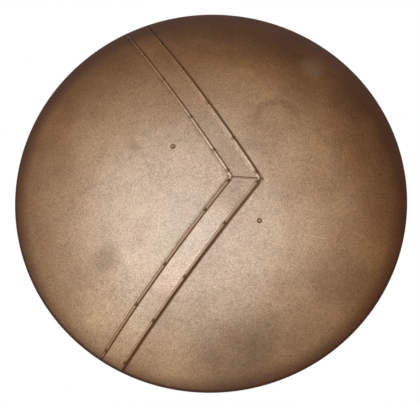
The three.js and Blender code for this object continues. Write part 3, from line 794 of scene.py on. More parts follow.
def leather(name, deep, mid, pale, grain_size, gloss, edge=None):
    """Tanned leather: clouds of colour, a net of fine creases, pores and, on edges, burnished dark."""
    s = Shader(name)
    cloud = s.noise(30, 3.0, 0.6, 0.5)
    fleck = s.noise(3.2, 3.0, 0.65)
    tone = s.scaled(cloud, 0.6, fleck * 0.4)
    colour = s.graded(tone, 0.34, 0.52, 0.70, deep, mid, pale)
    wobble = s.noise(6, 2.0, 0.5)
    bend = s.node("ShaderNodeVectorMath", operation="MULTIPLY_ADD")
    s.put(wobble, bend.inputs[0])
    bend.inputs[1].default_value = (0.0016, 0.0016, 0.0016)
    s.put(s.place, bend.inputs[2])
    net = s.cells(grain_size, "DISTANCE_TO_EDGE", Value(s, bend.outputs[0]))
    crease = s.range(net, 0.0, 0.16, 0.0, 1.0)
    colour = s.mix(s.range(net, 0.0, 0.10, 0.45, 0.0), colour, tuple(v * 0.35 for v in deep))
    pore = s.range(s.cells(grain_size * 2.7), 0.0, 0.16, 0.0, 1.0)
    if edge:
        rubbed = s.value(edge)
        colour = s.mix(s.range(rubbed, 0.35, 1.0, 0.0, 0.75), colour, tuple(v * 0.4 for v in deep))
    s.set(Base_Color=colour)
    s.set(Roughness=s.range(tone, 0.3, 0.7, gloss - 0.08, gloss + 0.1))
    s.shader.inputs["Coat Weight"].default_value = 0.06
    s.shader.inputs["Coat Roughness"].default_value = 0.4
    folds = s.bump(s.noise(14, 3.0, 0.6, 0.8), 0.35, 0.5)
    skin = s.bump(crease, 0.5, 0.16, folds)
    s.set(Normal=s.bump(pore, 0.3, 0.08, skin))
    return s.material


def worn_metal(name, deep, mid, pale, roughness, brush, metallic=0.9):
    """Bare metal with tarnish clouds, fine drawn lines and a dull film."""
    s = Shader(name)
    film = s.noise(12, 4.0, 0.65, 0.3)
    fleck = s.noise(1.6, 2.0, 0.6)
    tone = s.scaled(film, 0.7, fleck * 0.3)
    colour = s.graded(tone, 0.35, 0.52, 0.68, deep, mid, pale)
    lines = s.node("ShaderNodeVectorMath", operation="MULTIPLY")
    s.put(s.place, lines.inputs[0])
    lines.inputs[1].default_value = brush
    drawn = s.noise(1.2, 2.0, 0.6, 0.0, Value(s, lines.outputs[0]))
    s.set(Base_Color=colour, Metallic=metallic)
    s.set(Roughness=s.range(tone, 0.3, 0.7, roughness - 0.08, roughness + 0.12))
    s.set(Normal=s.bump(drawn, 0.3, 0.06, s.bump(film, 0.3, 0.2)))
    return s.material


def waxed_thread(name, dark, pale):
    """Pale twisted thread with a dull film of wax."""
    s = Shader(name)
    twist = s.noise(0.7, 2.0, 0.6)
    colour = s.mix(s.range(twist, 0.35, 0.65), dark, pale)
    s.set(Base_Color=colour, Roughness=0.62)
    s.set(Normal=s.bump(twist, 0.5, 0.12))
    return s.material


FACE, INSIDE, BAND, TRIM = face_bronze(), inside_bronze(), band_bronze(), trim_bronze()
TRIM_RIVET, ARM_RIVET = trim_rivet_bronze(), arm_rivet_bronze()
STRAP_LEATHER = leather(
    "strap_leather", (0.055, 0.026, 0.013), (0.115, 0.055, 0.027), (0.19, 0.10, 0.052), 1.3, 0.5, "edge"
)
PAD_LEATHER = leather(
    "pad_leather", (0.085, 0.043, 0.021), (0.16, 0.082, 0.041), (0.24, 0.135, 0.072), 1.7, 0.55
)
PIPING_LEATHER = leather(
    "piping_leather", (0.045, 0.021, 0.011), (0.085, 0.041, 0.021), (0.14, 0.073, 0.038), 1.1, 0.45
)
GRIP_LEATHER = leather(
    "grip_leather_wrap", (0.035, 0.017, 0.009), (0.075, 0.036, 0.018), (0.13, 0.067, 0.034), 1.1, 0.42, "edge"
)
STEEL = worn_metal(
    "bail_steel", (0.07, 0.06, 0.052), (0.19, 0.18, 0.17), (0.36, 0.35, 0.34), 0.38, (0.1, 1.0, 0.1)
)
RIM_STEEL = worn_metal(
    "rim_steel", (0.05, 0.035, 0.025), (0.12, 0.09, 0.07), (0.24, 0.20, 0.17), 0.5, (1.0, 1.0, 1.0), 0.8
)
BRASS = worn_metal(
    "aged_brass", (0.12, 0.070, 0.022), (0.36, 0.235, 0.085), (0.58, 0.41, 0.17), 0.34, (0.2, 1.0, 0.2)
)
THREAD = waxed_thread("waxed_thread", (0.22, 0.15, 0.085), (0.48, 0.36, 0.23))


# Bowl: one raised sheet whose edge is curled back round the rim wire

AROUND, OUTER_ROWS, INNER_ROWS, CURL_ROWS = 288, 96, 100, 26
# Angle where the curl ends, and how many of its last rows have the inside's finish
CURL_OPEN, BARE_ROWS = math.radians(306), 6


def bowl():
    """Dome, curl and inner face in one closed sheet, hammered on its inner face only."""
    around = angles_round(AROUND)

    def dome_rows(radius, angles, hammered):
        rows = []
        for angle in angles:
            x = radius * math.sin(angle) * np.cos(around)
            y = radius * math.sin(angle) * np.sin(around)
            reach = radius + sheet_wave(x, y) - (blow_ridges(x, y) if hammered else 0.0)
            n = normal_at(x, y, radius)
            p = n * reach[:, None]
            p[:, 2] += CENTRE
            rows.append(p)
        return rows

    def curl_rows(radius, angles):
        places = [(RING + radius * math.sin(a), CURL_REACH + radius * math.cos(a)) for a in angles]
        return [circle(r, around, height) for r, height in places]

    outer = dome_rows(DOME, EDGE_ANGLE * np.arange(1, OUTER_ROWS + 1) / OUTER_ROWS, False)
    outer += curl_rows(CURL, np.linspace(EDGE_ANGLE, CURL_OPEN, CURL_ROWS)[1:])
    inner = curl_rows(CURL - SHEET, np.linspace(CURL_OPEN, EDGE_ANGLE, CURL_ROWS)[:-1])
    inner += dome_rows(INNER, EDGE_ANGLE * np.arange(INNER_ROWS, 0, -1) / INNER_ROWS, True)
    rows = outer + inner
    crown = SHIELD_DEPTH + float(sheet_wave(0.0, 0.0))
    points = np.vstack([np.concatenate(rows), (0, 0, crown), (0, 0, crown - SHEET)])
    faces = grid_faces(len(rows), AROUND, round_columns=True)
    top, under, last = len(points) - 2, len(points) - 1, (len(rows) - 1) * AROUND
    faces += [[top, j, (j + 1) % AROUND] for j in range(AROUND)]
    faces += [[under, last + (j + 1) % AROUND, last + j] for j in range(AROUND)]
    split = (len(outer) - BARE_ROWS) * AROUND
    kinds = [int(i >= split) for i in range((len(rows) - 1) * AROUND)] + [0] * AROUND + [1] * AROUND
    shape = Shape().add(points, faces)
    piece("bowl", shape, [FACE, INSIDE], "shield_bowl", sharp=60, kinds=kinds)


bowl()

wire = Shape().tube(circle(RING, angles_round(AROUND), CURL_REACH), WIRE_RADIUS, 12, round_path=True)
piece("rim_rod", wire, RIM_STEEL, "rim_wire")


# Chevron: two strips, four half-round trims and their rivets

def limb_place(across, along, side):
    """Place in plan on one limb, from the distance across it and the distance along it."""
    x = across * math.cos(LIMB_ANGLE) - along * math.sin(LIMB_ANGLE)
    y = across * math.sin(LIMB_ANGLE) + along * math.cos(LIMB_ANGLE)
    return x, side * y


def limb_start(across):
    """Distance along a limb at which the mitre cuts it."""
    return (MITRE_GAP / 2 - across * math.sin(LIMB_ANGLE)) / math.cos(LIMB_ANGLE)


def limb_end(across):
    """Distance along a limb at which it ends, on a circle just inside the rim."""
    return math.sqrt(CHEVRON_END**2 - across**2)


def band(limb, side):
    """Strip of one limb, rounded at the mitre, its edges and rim end feathered down to the bowl."""
    # Distances in from the mitre and from the other edges, and how far the strip's face drops at each
    round_in = np.array([0.0, 0.03, 0.12, 0.28, 0.5])
    round_drop = np.array([BAND_TOP + 0.05, 0.62, 0.3, 0.08, 0.0])
    feather_in = np.array([0.0, 0.25, 0.6, 1.0, 1.5, 2.1])
    feather_drop = np.array([BAND_TOP + 0.05, 0.92, 0.66, 0.4, 0.16, 0.0])
    low, high = LIMB_OFFSET - LIMB_HALF, LIMB_OFFSET + LIMB_HALF
    inner = np.arange(low + 3.2, high - 3.0, 1.6)
    across = np.concatenate([low + feather_in, inner, high - feather_in[::-1]])
    drop_across = np.concatenate([feather_drop, np.zeros(len(inner)), feather_drop[::-1]])
    rows = []
    for a, fall in zip(across, drop_across):
        start, end = limb_start(a), limb_end(a)
        share = np.linspace(0, 1, 90)
        middle = start + 1.0 + share * (end - start - 4.0)
        along = np.concatenate([start + round_in, middle, end - feather_in[::-1]])
        falls = np.concatenate([round_drop, np.zeros(len(share)), feather_drop[::-1]])
        x, y = limb_place(a, along, side)
        rows.append(on_face(x, y, BAND_TOP - np.maximum(fall, falls)))
    shape = Shape().add(np.concatenate(rows), grid_faces(len(rows), len(rows[0])))
    piece(f"band_{limb}", shape, BAND, f"chevron_band_{limb}", sharp=75)


def trim_offset(edge):
    return LIMB_OFFSET + (TRIM_SPACING / 2 if edge == "outer" else -TRIM_SPACING / 2)


def trim_rivet_places(limb, edge, side):
    """Distance along the limb and place on the bowl's face of each rivet of a trim."""
    across = trim_offset(edge)
    start, end = -across * math.tan(LIMB_ANGLE), limb_end(across)
    radius = DOME + TRIM_BASE
    for share in RIVET_SHARES[f"{limb}_{edge}"]:
        along = start + share * (end - start)
        x, y = limb_place(across, along, side)
        yield along, x * DOME / radius, y * DOME / radius


# Section of a trim across its width, as (share of its half width, share of its height)
BEAD = np.array([
    (-1, 0), (-0.9, 0.16), (-0.74, 0.42), (-0.56, 0.68), (-0.38, 0.88), (-0.18, 0.99), (0, 1), (0.2, 0.9),
    (0.42, 0.66), (0.64, 0.38), (0.84, 0.14), (1, 0),
])
TRIM_STOP = 2.0


def trim(limb, edge, side, seed):
    """Bead a little uneven as bent by hand, pressed flatter under each rivet and dressed down at the rim."""
    across, half, sides = trim_offset(edge), TRIM_WIDTH / 2, len(BEAD)
    start, end = limb_start(across), limb_end(across) - TRIM_STOP
    seats = [along for along, _, _ in trim_rivet_places(limb, edge, side)]
    alongs = np.concatenate([[start], np.arange(start + 0.8, end - 1.0, 1.7), [end - 0.8, end]])
    rows = []
    lean = math.tan(LIMB_ANGLE)
    for along in alongs:
        near = min(sum(math.exp(-(((along - seat) / 4.5) ** 2)) for seat in seats), 1)
        wobble = 0.16 * math.sin(along / 17 + seed) + 0.1 * math.sin(along / 6.1 + 2 * seed)
        dressed = 1 - (0.8 if side > 0 else 0.4) * float(smooth_step(end - 18, end, along))
        height = (TRIM_HEIGHT + FIT) * (1 - 0.22 * near) * dressed + 0.06 * math.sin(along / 9 + seed)
        width = half * (1 + 0.12 * near)
        s, rise = BEAD[:, 0] * width, BEAD[:, 1] * height
        shear = -s * lean * max(0.0, 1 - (along - start) / 8)
        x, y = limb_place(across + s + 0.25 * wobble, along + shear, side)
        rows.append(on_face(x, y, BAND_TOP - 0.05 + rise))
    shape = Shape().add(np.concatenate(rows), grid_faces(len(rows), sides) + end_faces(len(rows), sides))

    def riveted(p):
        along = -p[:, 0] * math.sin(LIMB_ANGLE) + np.abs(p[:, 1]) * math.cos(LIMB_ANGLE)
        return np.clip(sum(np.exp(-(((along - seat) / 2.9) ** 4)) for seat in seats), 0, 1)

    name, values = f"{limb}_{edge}", {"riveted": riveted}
    piece(f"trim_{name}", shape, TRIM, f"edge_trim_{name}", sharp=70, values=values)


def head_crown(matrix, reach):
    """Share of the way in from a rivet head's edge to its middle."""
    undo = np.linalg.inv(matrix)

    def crown(p):
        q = moved(p, undo)
        return np.where(q[:, 2] > 0, 1 - np.clip(np.hypot(q[:, 0], q[:, 1]) / reach, 0, 1), 0.3)

    return crown


def domed(pole, radius, base, height, first, step):
    """Profile of a domed head from its pole to its foot."""
    angles = [math.radians(angle) for angle in range(first, -1, -step)]
    return [(0, pole)] + [(radius * math.cos(a), base + height * math.sin(a)) for a in angles]


def trim_rivet(name, x, y, turned):
    """Small rivet through a trim: domed head above, peened tail inside the bowl."""
    matrix = face_frame(x, y) @ turn("Z", turned)
    seat = TRIM_BASE + TRIM_HEIGHT - 0.55
    profile = domed(seat + 1.75, 2.6, seat + 0.35, 1.4, 78, 13)
    profile += [(2.62, seat - 0.2), (2.3, seat - 0.9), (1.9, seat - 1.2)]
    shape = Shape().lathe(profile, 22, matrix)
    shape.points[0][:, :] += 0.02 * np.sin(shape.points[0] * 1.7)
    tail_seat = -SHEET - seat_depth(2.2, SHIELD_RADIUS)
    tail = [(1.25, -SHEET + 0.4), (1.25, tail_seat + 0.25), (2.0, tail_seat + 0.2), (2.2, tail_seat - 0.1)]
    tail += [(2.1, tail_seat - 0.5), (1.6, tail_seat - 0.8), (0.8, tail_seat - 0.9), (0, tail_seat - 0.9)]
    shape.lathe(tail, 16, matrix)
    values = {"crown": head_crown(matrix, 2.7)}
    piece(f"{name}_peened", shape, TRIM_RIVET, name, values=values)


seed = 0
for limb, side in (("upper", 1), ("lower", -1)):
    band(limb, side)
    for edge in ("outer", "inner"):
        seed += 1
        trim(limb, edge, side, 1.3 * seed)
        for number, (_, x, y) in enumerate(trim_rivet_places(limb, edge, side), 1):
            trim_rivet(f"trim_rivet_{limb}_{edge}_{number}", x, y, 0.7 * number * seed)


# Forearm band, its rivets, washers and stitching

def strap_line():
    """Centre line of the forearm band in its own frame, as (along, height), from foot to foot."""
    legs = []
    for side in (-1, 1):
        along = LOOP_OFFSET + side * RIVET_SPAN / 2
        angle = math.asin(along / INNER)
        reach = INNER - FOOT_DEPTH - STRAP_THICKNESS / 2
        inward = np.array([-side * math.cos(angle), side * math.sin(angle)])
        seat = np.array([math.sin(angle), math.cos(angle)]) * reach + (0, CENTRE)
        crown = np.array([LOOP_OFFSET + side * CROWN_LENGTH / 2, CROWN_STANDOFF + STRAP_THICKNESS / 2])
        guide = crown + (side * CROWN_REACH, 0)
        bend, bend_guide = seat + inward * FOOT_LEAD, seat + inward * (FOOT_LEAD + FOOT_REACH)
        t = np.linspace(0, 1, 34)[:, None]
        weights = (1 - t) ** 3, 3 * (1 - t) ** 2 * t, 3 * (1 - t) * t**2, t**3
        curve = sum(weight * end for weight, end in zip(weights, (bend, bend_guide, guide, crown)))
        foot = np.array([seat + inward * d for d in np.arange(-FOOT_TAIL, FOOT_LEAD - 0.5, 1.4)])
        legs.append(np.vstack([foot, curve]))
    middle = np.column_stack([
        LOOP_OFFSET + np.linspace(-1, 1, 17)[1:-1] * CROWN_LENGTH / 2,
        np.full(15, CROWN_STANDOFF + STRAP_THICKNESS / 2),
    ])
    line = np.vstack([legs[0], middle, legs[1][::-1]])
    line[:, 1] -= 1.4 * np.exp(-(((line[:, 0] - LOOP_OFFSET) / 34) ** 2))
    return line


def strap_frames(line):
    """Points, run directions and inward normals of the band's centre line, in the strap frame."""
    run = np.gradient(line, axis=0)
    run /= np.linalg.norm(run, axis=1)[:, None]
    out = np.column_stack([run[:, 1], np.zeros(len(run)), -run[:, 0]])
    points = np.column_stack([line[:, 0], np.zeros(len(line)), line[:, 1]])
    return points, np.column_stack([run[:, 0], np.zeros(len(run)), run[:, 1]]), out


# Roundness of the band's edges, the spacing and length of its stitches, how far out they run, and their start
STRAP_ROUND = 1.2
STITCH_PITCH, STITCH_LENGTH, STITCH_LINE, STITCH_START = 4.4, 3.3, 0.885, 16.0
FLAT_PLACES = (-0.94, -STITCH_LINE, -0.83, -0.6, -0.3, 0, 0.3, 0.6, 0.83, STITCH_LINE, 0.94)
ACROSS = np.array([0, 1.0, 0])


def strap_section():
    """Section of the band, as (side, face, cosine, sine, place): only a point of a flat has a place."""
    section = []
    for corner, (side, face) in enumerate(((-1, -1), (1, -1), (1, 1), (-1, 1))):
        for angle in np.radians(np.linspace(90 * corner - 180, 90 * corner - 90, 5)):
            section.append((side, face, math.cos(angle), math.sin(angle), None))
        if corner in (0, 2):
            section += [(0, face, 0, 0, -face * place) for place in FLAT_PLACES]
    return section


def strap():
    """Leather band with round corners and edges, thinner at its ends and grooved where it is sewn."""
    line = strap_line()
    points, run, out = strap_frames(line)
    length = np.concatenate([[0], np.cumsum(np.linalg.norm(np.diff(line, axis=0), axis=1))])
    half, thick, section = STRAP_WIDTH / 2, STRAP_THICKNESS / 2, strap_section()
    rows = []
    for point, inward, at in zip(points, out, length):
        end = min(at, length[-1] - at)
        inset = STRAP_CORNER - math.sqrt(max(STRAP_CORNER**2 - max(STRAP_CORNER - end, 0) ** 2, 0))
        width = max(half - inset, 0.5)
        thin = thick * (0.62 + 0.38 * min(end / STRAP_ROUND, 1))
        for side, face, c, s, place in section:
            if place is None:
                across = side * (width - STRAP_ROUND) + STRAP_ROUND * c
                rise = face * (thin - STRAP_ROUND) + STRAP_ROUND * s if thin > STRAP_ROUND else thin * s
            else:
                groove = 0.28 if abs(place) == STITCH_LINE else 0.0
                across = place * (width - STRAP_ROUND)
                rise = face * (thin - groove + 0.25 * (1 - place * place))
            rows.append(point + across * ACROSS + rise * inward)
    size = len(line), len(section)
    shape = Shape().add(rows, grid_faces(*size, round_columns=True) + end_faces(*size), STRAP_FRAME)

    def edge(p):
        q = moved(p, np.linalg.inv(STRAP_FRAME))
        return smooth_step(half - 2.4, half - 0.4, np.abs(q[:, 1]))

    piece("forearm_band", shape, STRAP_LEATHER, "arm_band", sharp=60, values={"edge": edge})
    strap_stitching(points, run, out, length)


def strap_stitching(points, run, out, length):
    """Separate stitches near both edges of the band, on both its faces."""
    threads, half, thick = Shape(), STRAP_WIDTH / 2, STRAP_THICKNESS / 2

    def found(way, at):
        return np.array([np.interp(at, length, way[:, k]) for k in range(3)])

    for sign, face in ((-1, -1), (-1, 1), (1, -1), (1, 1)):
        at = STITCH_START
        while at < length[-1] - STITCH_START:
            place, r, o = found(points, at), found(run, at), found(out, at)
            r, o = r / np.linalg.norm(r), o / np.linalg.norm(o)
            b = np.cross(o, r)
            centre = place + sign * STITCH_LINE * (half - STRAP_ROUND) * ACROSS + face * (thick - 0.02) * o
            stitch = []
            for t, width in ((-0.5, 0.15), (-0.38, 0.75), (0, 1), (0.38, 0.75), (0.5, 0.15)):
                middle = centre + r * t * STITCH_LENGTH + o * (-0.35 * face * (abs(t) * 2) ** 3)
                for a in angles_round(6):
                    stitch.append(middle + width * 0.5 * (b * math.cos(a) + o * math.sin(a)))
            threads.add(stitch, grid_faces(5, 6, round_columns=True), STRAP_FRAME)
            at += STITCH_PITCH
    piece("forearm_band_stitching", threads, THREAD, sharp=80)


def arm_rivet(name, side):
    """Domed rivet through the bowl and one foot of the band, and the washer under its peened end."""
    along = LOOP_OFFSET + side * RIVET_SPAN / 2
    x, y = along * math.cos(STRAP_ANGLE), along * math.sin(STRAP_ANGLE)
    matrix, low = face_frame(x * DOME / INNER, y * DOME / INNER), WASHER_BOTTOM
    head = domed(2.75, 3.8, 0.55, 2.2, 80, 10)
    head += [(3.82, 0.2), (3.6, -0.05), (2.0, -0.1), (2.0, low - 0.1), (2.9, low - 0.15), (3.2, low - 0.5)]
    head += [(2.9, low - 1.05), (2.0, low - 1.4), (0.9, low - 1.55), (0, low - 1.5)]
    values = {"crown": head_crown(matrix, 4.0)}
    shape = Shape().lathe(head, 40, matrix)
    piece(f"arm_rivet_{name}_peened", shape, ARM_RIVET, f"arm_rivet_{name}", values=values)
    washer = [(2.25, WASHER_TOP - 0.1), (2.5, WASHER_TOP), (6.2, WASHER_TOP), (6.5, WASHER_TOP - 0.3)]
    washer += [(6.45, low + 0.25), (6.1, low), (2.6, low - 0.05), (2.25, low + 0.1)]
    shape = Shape().lathe(washer, 48, matrix, closed=True)
    piece(f"arm_washer_{name}_turned", shape, BRASS, f"arm_washer_{name}")


# The two ends of the forearm band and of the grip, as (name, direction)
ENDS = (("upper", -1), ("lower", 1))

strap()
for name, side in ENDS:
    arm_rivet(name, side)


# Pad under the forearm: a leather cover over felt, piped round its edge and sewn through in two channels

PAD_ROWS, PAD_COLUMNS = 76, 50
PAD_INSET, PAD_FACE = 1.0, INNER - FIT
# Height of the cover's underside, of its edge, and of its middle over the edge, and the width of the slope
PAD_BACK, PAD_EDGE, PAD_RISE, PAD_SLOPE = 0.2, 3.0, 3.6, 9.0
# Sewn channels: their places, how far short of the ends they stop, and their width and share of the rise
CHANNELS, CHANNEL_STOP, CHANNEL_WIDTH, CHANNEL_SINK = (-15.5, 15.5), 7.5, 1.5, 0.72
PIPING_HEIGHT, PIPING_RADIUS = 2.1, 1.75
# Puffing of the cover: frames of cloth, and the furthest that a point moves, in metres
PUFF_FRAMES, PUFF_LIMIT = 20, 0.0024


def pad_half(y):
    """Half width of the pad at a distance along it, with its rounded corners."""
    over = max(abs(y) - (PAD_LENGTH / 2 - PAD_CORNER), 0)
    return PAD_WIDTH / 2 - PAD_CORNER + math.sqrt(max(PAD_CORNER**2 - over**2, 0))


def under_bowl(x, y, depth):
    """Point under the bowl's inner face, from a place in the strap frame."""
    q = np.column_stack([np.ravel(x), np.ravel(y)]) @ STRAP_FRAME[:2, :2].T
    n = normal_at(q[:, 0], q[:, 1], PAD_FACE)
    p = n * (PAD_FACE - np.ravel(depth) + sheet_wave(q[:, 0], q[:, 1]))[:, None]
    p[:, 2] += CENTRE
    return p


def spread(count, reach):
    """Shares from -1 to 1, closer together towards both ends."""
    return np.sin(np.linspace(-1, 1, count) * math.pi / 2 * reach) / math.sin(math.pi / 2 * reach)


def pad():
    """Puffed leather cover, pinned round its edge and along its channels, with its piping and its sewing."""
    end = PAD_LENGTH / 2 - PAD_INSET
    top_x, top_y, depth, pin = [], [], [], []
    for y in spread(PAD_ROWS, 0.97) * end:
        half = pad_half(y) - PAD_INSET
        share = spread(PAD_COLUMNS, 0.94)
        x = LOOP_OFFSET + share * half
        from_side, from_end = half - np.abs(share) * half, end - abs(y)
        rise = smooth_step(0, PAD_SLOPE, from_side) * smooth_step(0, PAD_SLOPE, np.full_like(x, from_end))
        sewn = np.zeros_like(x)
        if from_end > CHANNEL_STOP:
            for channel in CHANNELS:
                near = np.abs(x - LOOP_OFFSET - channel)
                sewn = np.maximum(sewn, np.exp(-((near / CHANNEL_WIDTH) ** 2)))
        top_x.append(x)
        top_y.append(np.full_like(x, y))
        depth.append(PAD_EDGE + PAD_RISE * rise * (1 - CHANNEL_SINK * sewn))
        pin.append((from_side < 0.6) | (from_end < 0.6) | (sewn > 0.55))
    top_x, top_y, depth = np.array(top_x), np.array(top_y), np.array(depth)
    top = under_bowl(top_x, top_y, depth)
    bottom = under_bowl(top_x, top_y, np.full(top_x.shape, PAD_BACK))
    rows, columns = PAD_ROWS, PAD_COLUMNS
    count = rows * columns
    faces = grid_faces(rows, columns)
    faces += [[count + i for i in reversed(face)] for face in faces]
    ring = list(range(columns))
    ring += [i * columns + columns - 1 for i in range(1, rows)]
    ring += [(rows - 1) * columns + j for j in range(columns - 2, -1, -1)]
    ring += [i * columns for i in range(rows - 2, 0, -1)]
    faces += [[b, a, count + a, count + b] for a, b in zip(ring, ring[1:] + ring[:1])]
    shape = Shape().add(np.vstack([top, bottom]), faces)
    made = piece("forearm_pad", shape, PAD_LEATHER, "arm_pad", sharp=80)
    held = made.vertex_groups.new(name="held")
    pinned = [int(i) for i in np.flatnonzero(np.array(pin).ravel())]
    held.add(pinned + list(range(count, 2 * count)), 1.0, "REPLACE")
    swell(made, held.name)
    path = under_bowl(top_x.ravel()[ring], top_y.ravel()[ring], np.full(len(ring), PIPING_HEIGHT))
    piping = Shape().tube(path, PIPING_RADIUS, 12, round_path=True)
    piece("forearm_pad_piping", piping, PIPING_LEATHER, sharp=80)
    sewing = Shape()
    step, height = np.array([-1.5, -1.1, 0, 1.1, 1.5]), np.array([3.7, 4.3, 4.5, 4.3, 3.7])
    for channel in CHANNELS:
        for y in np.arange(-PAD_LENGTH / 2 + 9.5, PAD_LENGTH / 2 - 9.5, 4.2):
            stitch = under_bowl(np.full(5, LOOP_OFFSET + channel), y + step, height)
            sewing.tube(stitch, [0.2, 0.42, 0.5, 0.42, 0.2], 6)
    piece("forearm_pad_stitching", sewing, THREAD, sharp=80)


def swell(obj, group):
    """Puffs the pad's cover between its seams with a short cloth simulation."""
    before = np.zeros(len(obj.data.vertices) * 3)
    obj.data.vertices.foreach_get("co", before)
    cloth = obj.modifiers.new("cover", "CLOTH")
    settings = cloth.settings
    settings.quality = 6
    settings.mass = 0.25
    settings.tension_stiffness = settings.compression_stiffness = 18
    settings.shear_stiffness = 8
    settings.bending_stiffness = 0.4
    settings.use_pressure = True
    settings.uniform_pressure_force = 5
    settings.vertex_group_mass = group
    settings.shrink_min = -0.05
    settings.effector_weights.gravity = 0
    cloth.collision_settings.use_collision = False
    scene = bpy.context.scene
    for number in range(1, PUFF_FRAMES + 1):
        scene.frame_set(number)
        bpy.context.view_layer.update()
    graph = bpy.context.evaluated_depsgraph_get()
    done = obj.evaluated_get(graph)
    after = np.zeros(len(done.data.vertices) * 3)
    done.data.vertices.foreach_get("co", after)
    obj.modifiers.remove(cloth)
    scene.frame_set(1)
    step = (after - before).reshape(-1, 3)
    far = np.linalg.norm(step, axis=1)
    step *= np.minimum(1, PUFF_LIMIT / np.maximum(far, 1e-9))[:, None]
    obj.data.vertices.foreach_set("co", (before.reshape(-1, 3) + step).ravel())
    obj.data.update()


pad()


# Hand grip: lugs on the bowl, and a swinging bail with its ferrules and wound leather

BAIL_BEVEL = 0.7


def lug(name, side):
    """Lug of the grip: a round base in a bead of brazing, and an ear bored for the bail."""
    base, bore, n, half = LUG_RADIUS, ROD_RADIUS + 0.4, 48, EAR_THICKNESS / 2
    top = INNER - seat_depth(base, GRIP_RADIUS + base)
    low = top - LUG_THICKNESS
    base_frame = GRIP_FRAME @ shift(0, 0, -INNER) @ turn("Y", side * math.asin(LUG_PLACE / INNER))
    profile = [(0, top), (base - 0.3, top), (base, top - 0.4), (base, low + 1.1), (base - 0.25, low + 0.55)]
    profile += [(base - 0.8, low + 0.15), (base - 1.6, low), (base - 4.5, low), (0, low)]
    brazing = [(base - 0.3, top + 1.6), (base + 1.7, top + 1.3), (base + 1.3, top + 0.2)]
    brazing += [(base + 0.5, top - 0.7), (base - 0.3, top - 1.1)]
    shape = Shape().lathe(profile, 64, base_frame).lathe(brazing, 64, base_frame)
    root = low + LUG_THICKNESS / 2 - INNER - sag(LUG_PLACE)

    def outline(inset):
        """Ear's edge: round below the pivot, and flared out towards the base above it."""
        points = []
        for a in angles_round(n):
            c, s = math.cos(a), math.sin(a)
            reach = EAR_RADIUS - inset
            if s > 0:
                flare = EAR_RADIUS + 2.0 * s**6
                reach = min((flare - inset) / max(abs(c), 1e-6), (root + PIVOT_DROP) / s)
            points.append((reach * c, reach * s - PIVOT_DROP))
        return points

    def hole(radius):
        return [(radius * math.cos(a), radius * math.sin(a) - PIVOT_DROP) for a in angles_round(n)]

    loops = [(-half + 0.5, hole(bore)), (-half, hole(bore + 0.45)), (-half, outline(0.75))]
    loops += [(-half + 0.22, outline(0.22)), (-half + 0.75, outline(0))]
    loops += [(-x, loop) for x, loop in reversed(loops)]
    points = [(side * LUG_PLACE + x, y, z) for x, loop in loops for y, z in loop]
    shape.add(points, grid_faces(len(loops), n, round_columns=True, round_rows=True), GRIP_FRAME)
    piece(f"lug_{name}", shape, BRASS, f"grip_lug_{name}", sharp=50)


for name, side in ENDS:
    lug(name, side)


def bail_path():
    """Middle of the bent rod in its own plane, from tip to tip, with its four bends rounded."""
    stub = LUG_PLACE - EAR_THICKNESS / 2 - BAIL_PROUD
    leg = BAIL_SPAN / 2
    corners = [(-stub, 0), (-leg, 0), (-leg, -BAIL_DROP), (leg, -BAIL_DROP), (leg, 0), (stub, 0)]
    corners = [np.array([x, y, 0.0]) for x, y in corners]
    path = [corners[0]]
    for before, corner, after in zip(corners, corners[1:], corners[2:]):
        into = (corner - before) / np.linalg.norm(corner - before)
        away = (after - corner) / np.linalg.norm(after - corner)
        start, end = corner - into * BAIL_BEND, corner + away * BAIL_BEND
        for t in np.linspace(0, 1, 11):
            path.append((1 - t) ** 2 * start + 2 * (1 - t) * t * corner + t * t * end)
    path.append(corners[-1])
    return np.array(path)


def bail():
    """Bent rod of the grip, bevelled at both tips."""
    path = bail_path()
    first, last = path[1] - path[0], path[-2] - path[-1]
    first, last = BAIL_BEVEL * first / np.linalg.norm(first), BAIL_BEVEL * last / np.linalg.norm(last)
    path = np.vstack([path[0], path[0] + first, path[1:-1], path[-1] + last, path[-1]])
    radii = np.full(len(path), ROD_RADIUS)
    radii[0] = radii[-1] = ROD_RADIUS - BAIL_BEVEL
    rod = Shape().tube(path, radii, 28, SWING_FRAME)
    piece("bail_rod", rod, STEEL, "grip_bail", body="grip", sharp=60)


bail()

BAR_FRAME = SWING_FRAME @ shift(0, -BAIL_DROP, 0) @ turn("Y", math.pi / 2)


# Section of the wound strip, as (share of the pitch, height)
LIP = (
    (-0.02, -0.75), (0.0, -0.1), (0.012, 0.22), (0.04, 0.36), (0.09, 0.4), (0.25, 0.33), (0.45, 0.22),
    (0.65, 0.06), (0.85, -0.12), (1.0, -0.3), (1.06, -0.6),
)
WIND_PITCH, WIND_STEPS = 11.5, 56
WHIP_TURNS, WHIP_PITCH, WHIP_RADIUS = 5, 1.15, 0.62
SLEEVE_HALF = SLEEVE_LENGTH / 2


def barrel(z):
    """Radius of the sleeve at a distance from its middle."""
    share = np.clip(np.abs(z) / SLEEVE_HALF, 0, 1)
    return float(SLEEVE_END + (SLEEVE_MIDDLE - SLEEVE_END) * (1 - share**2))


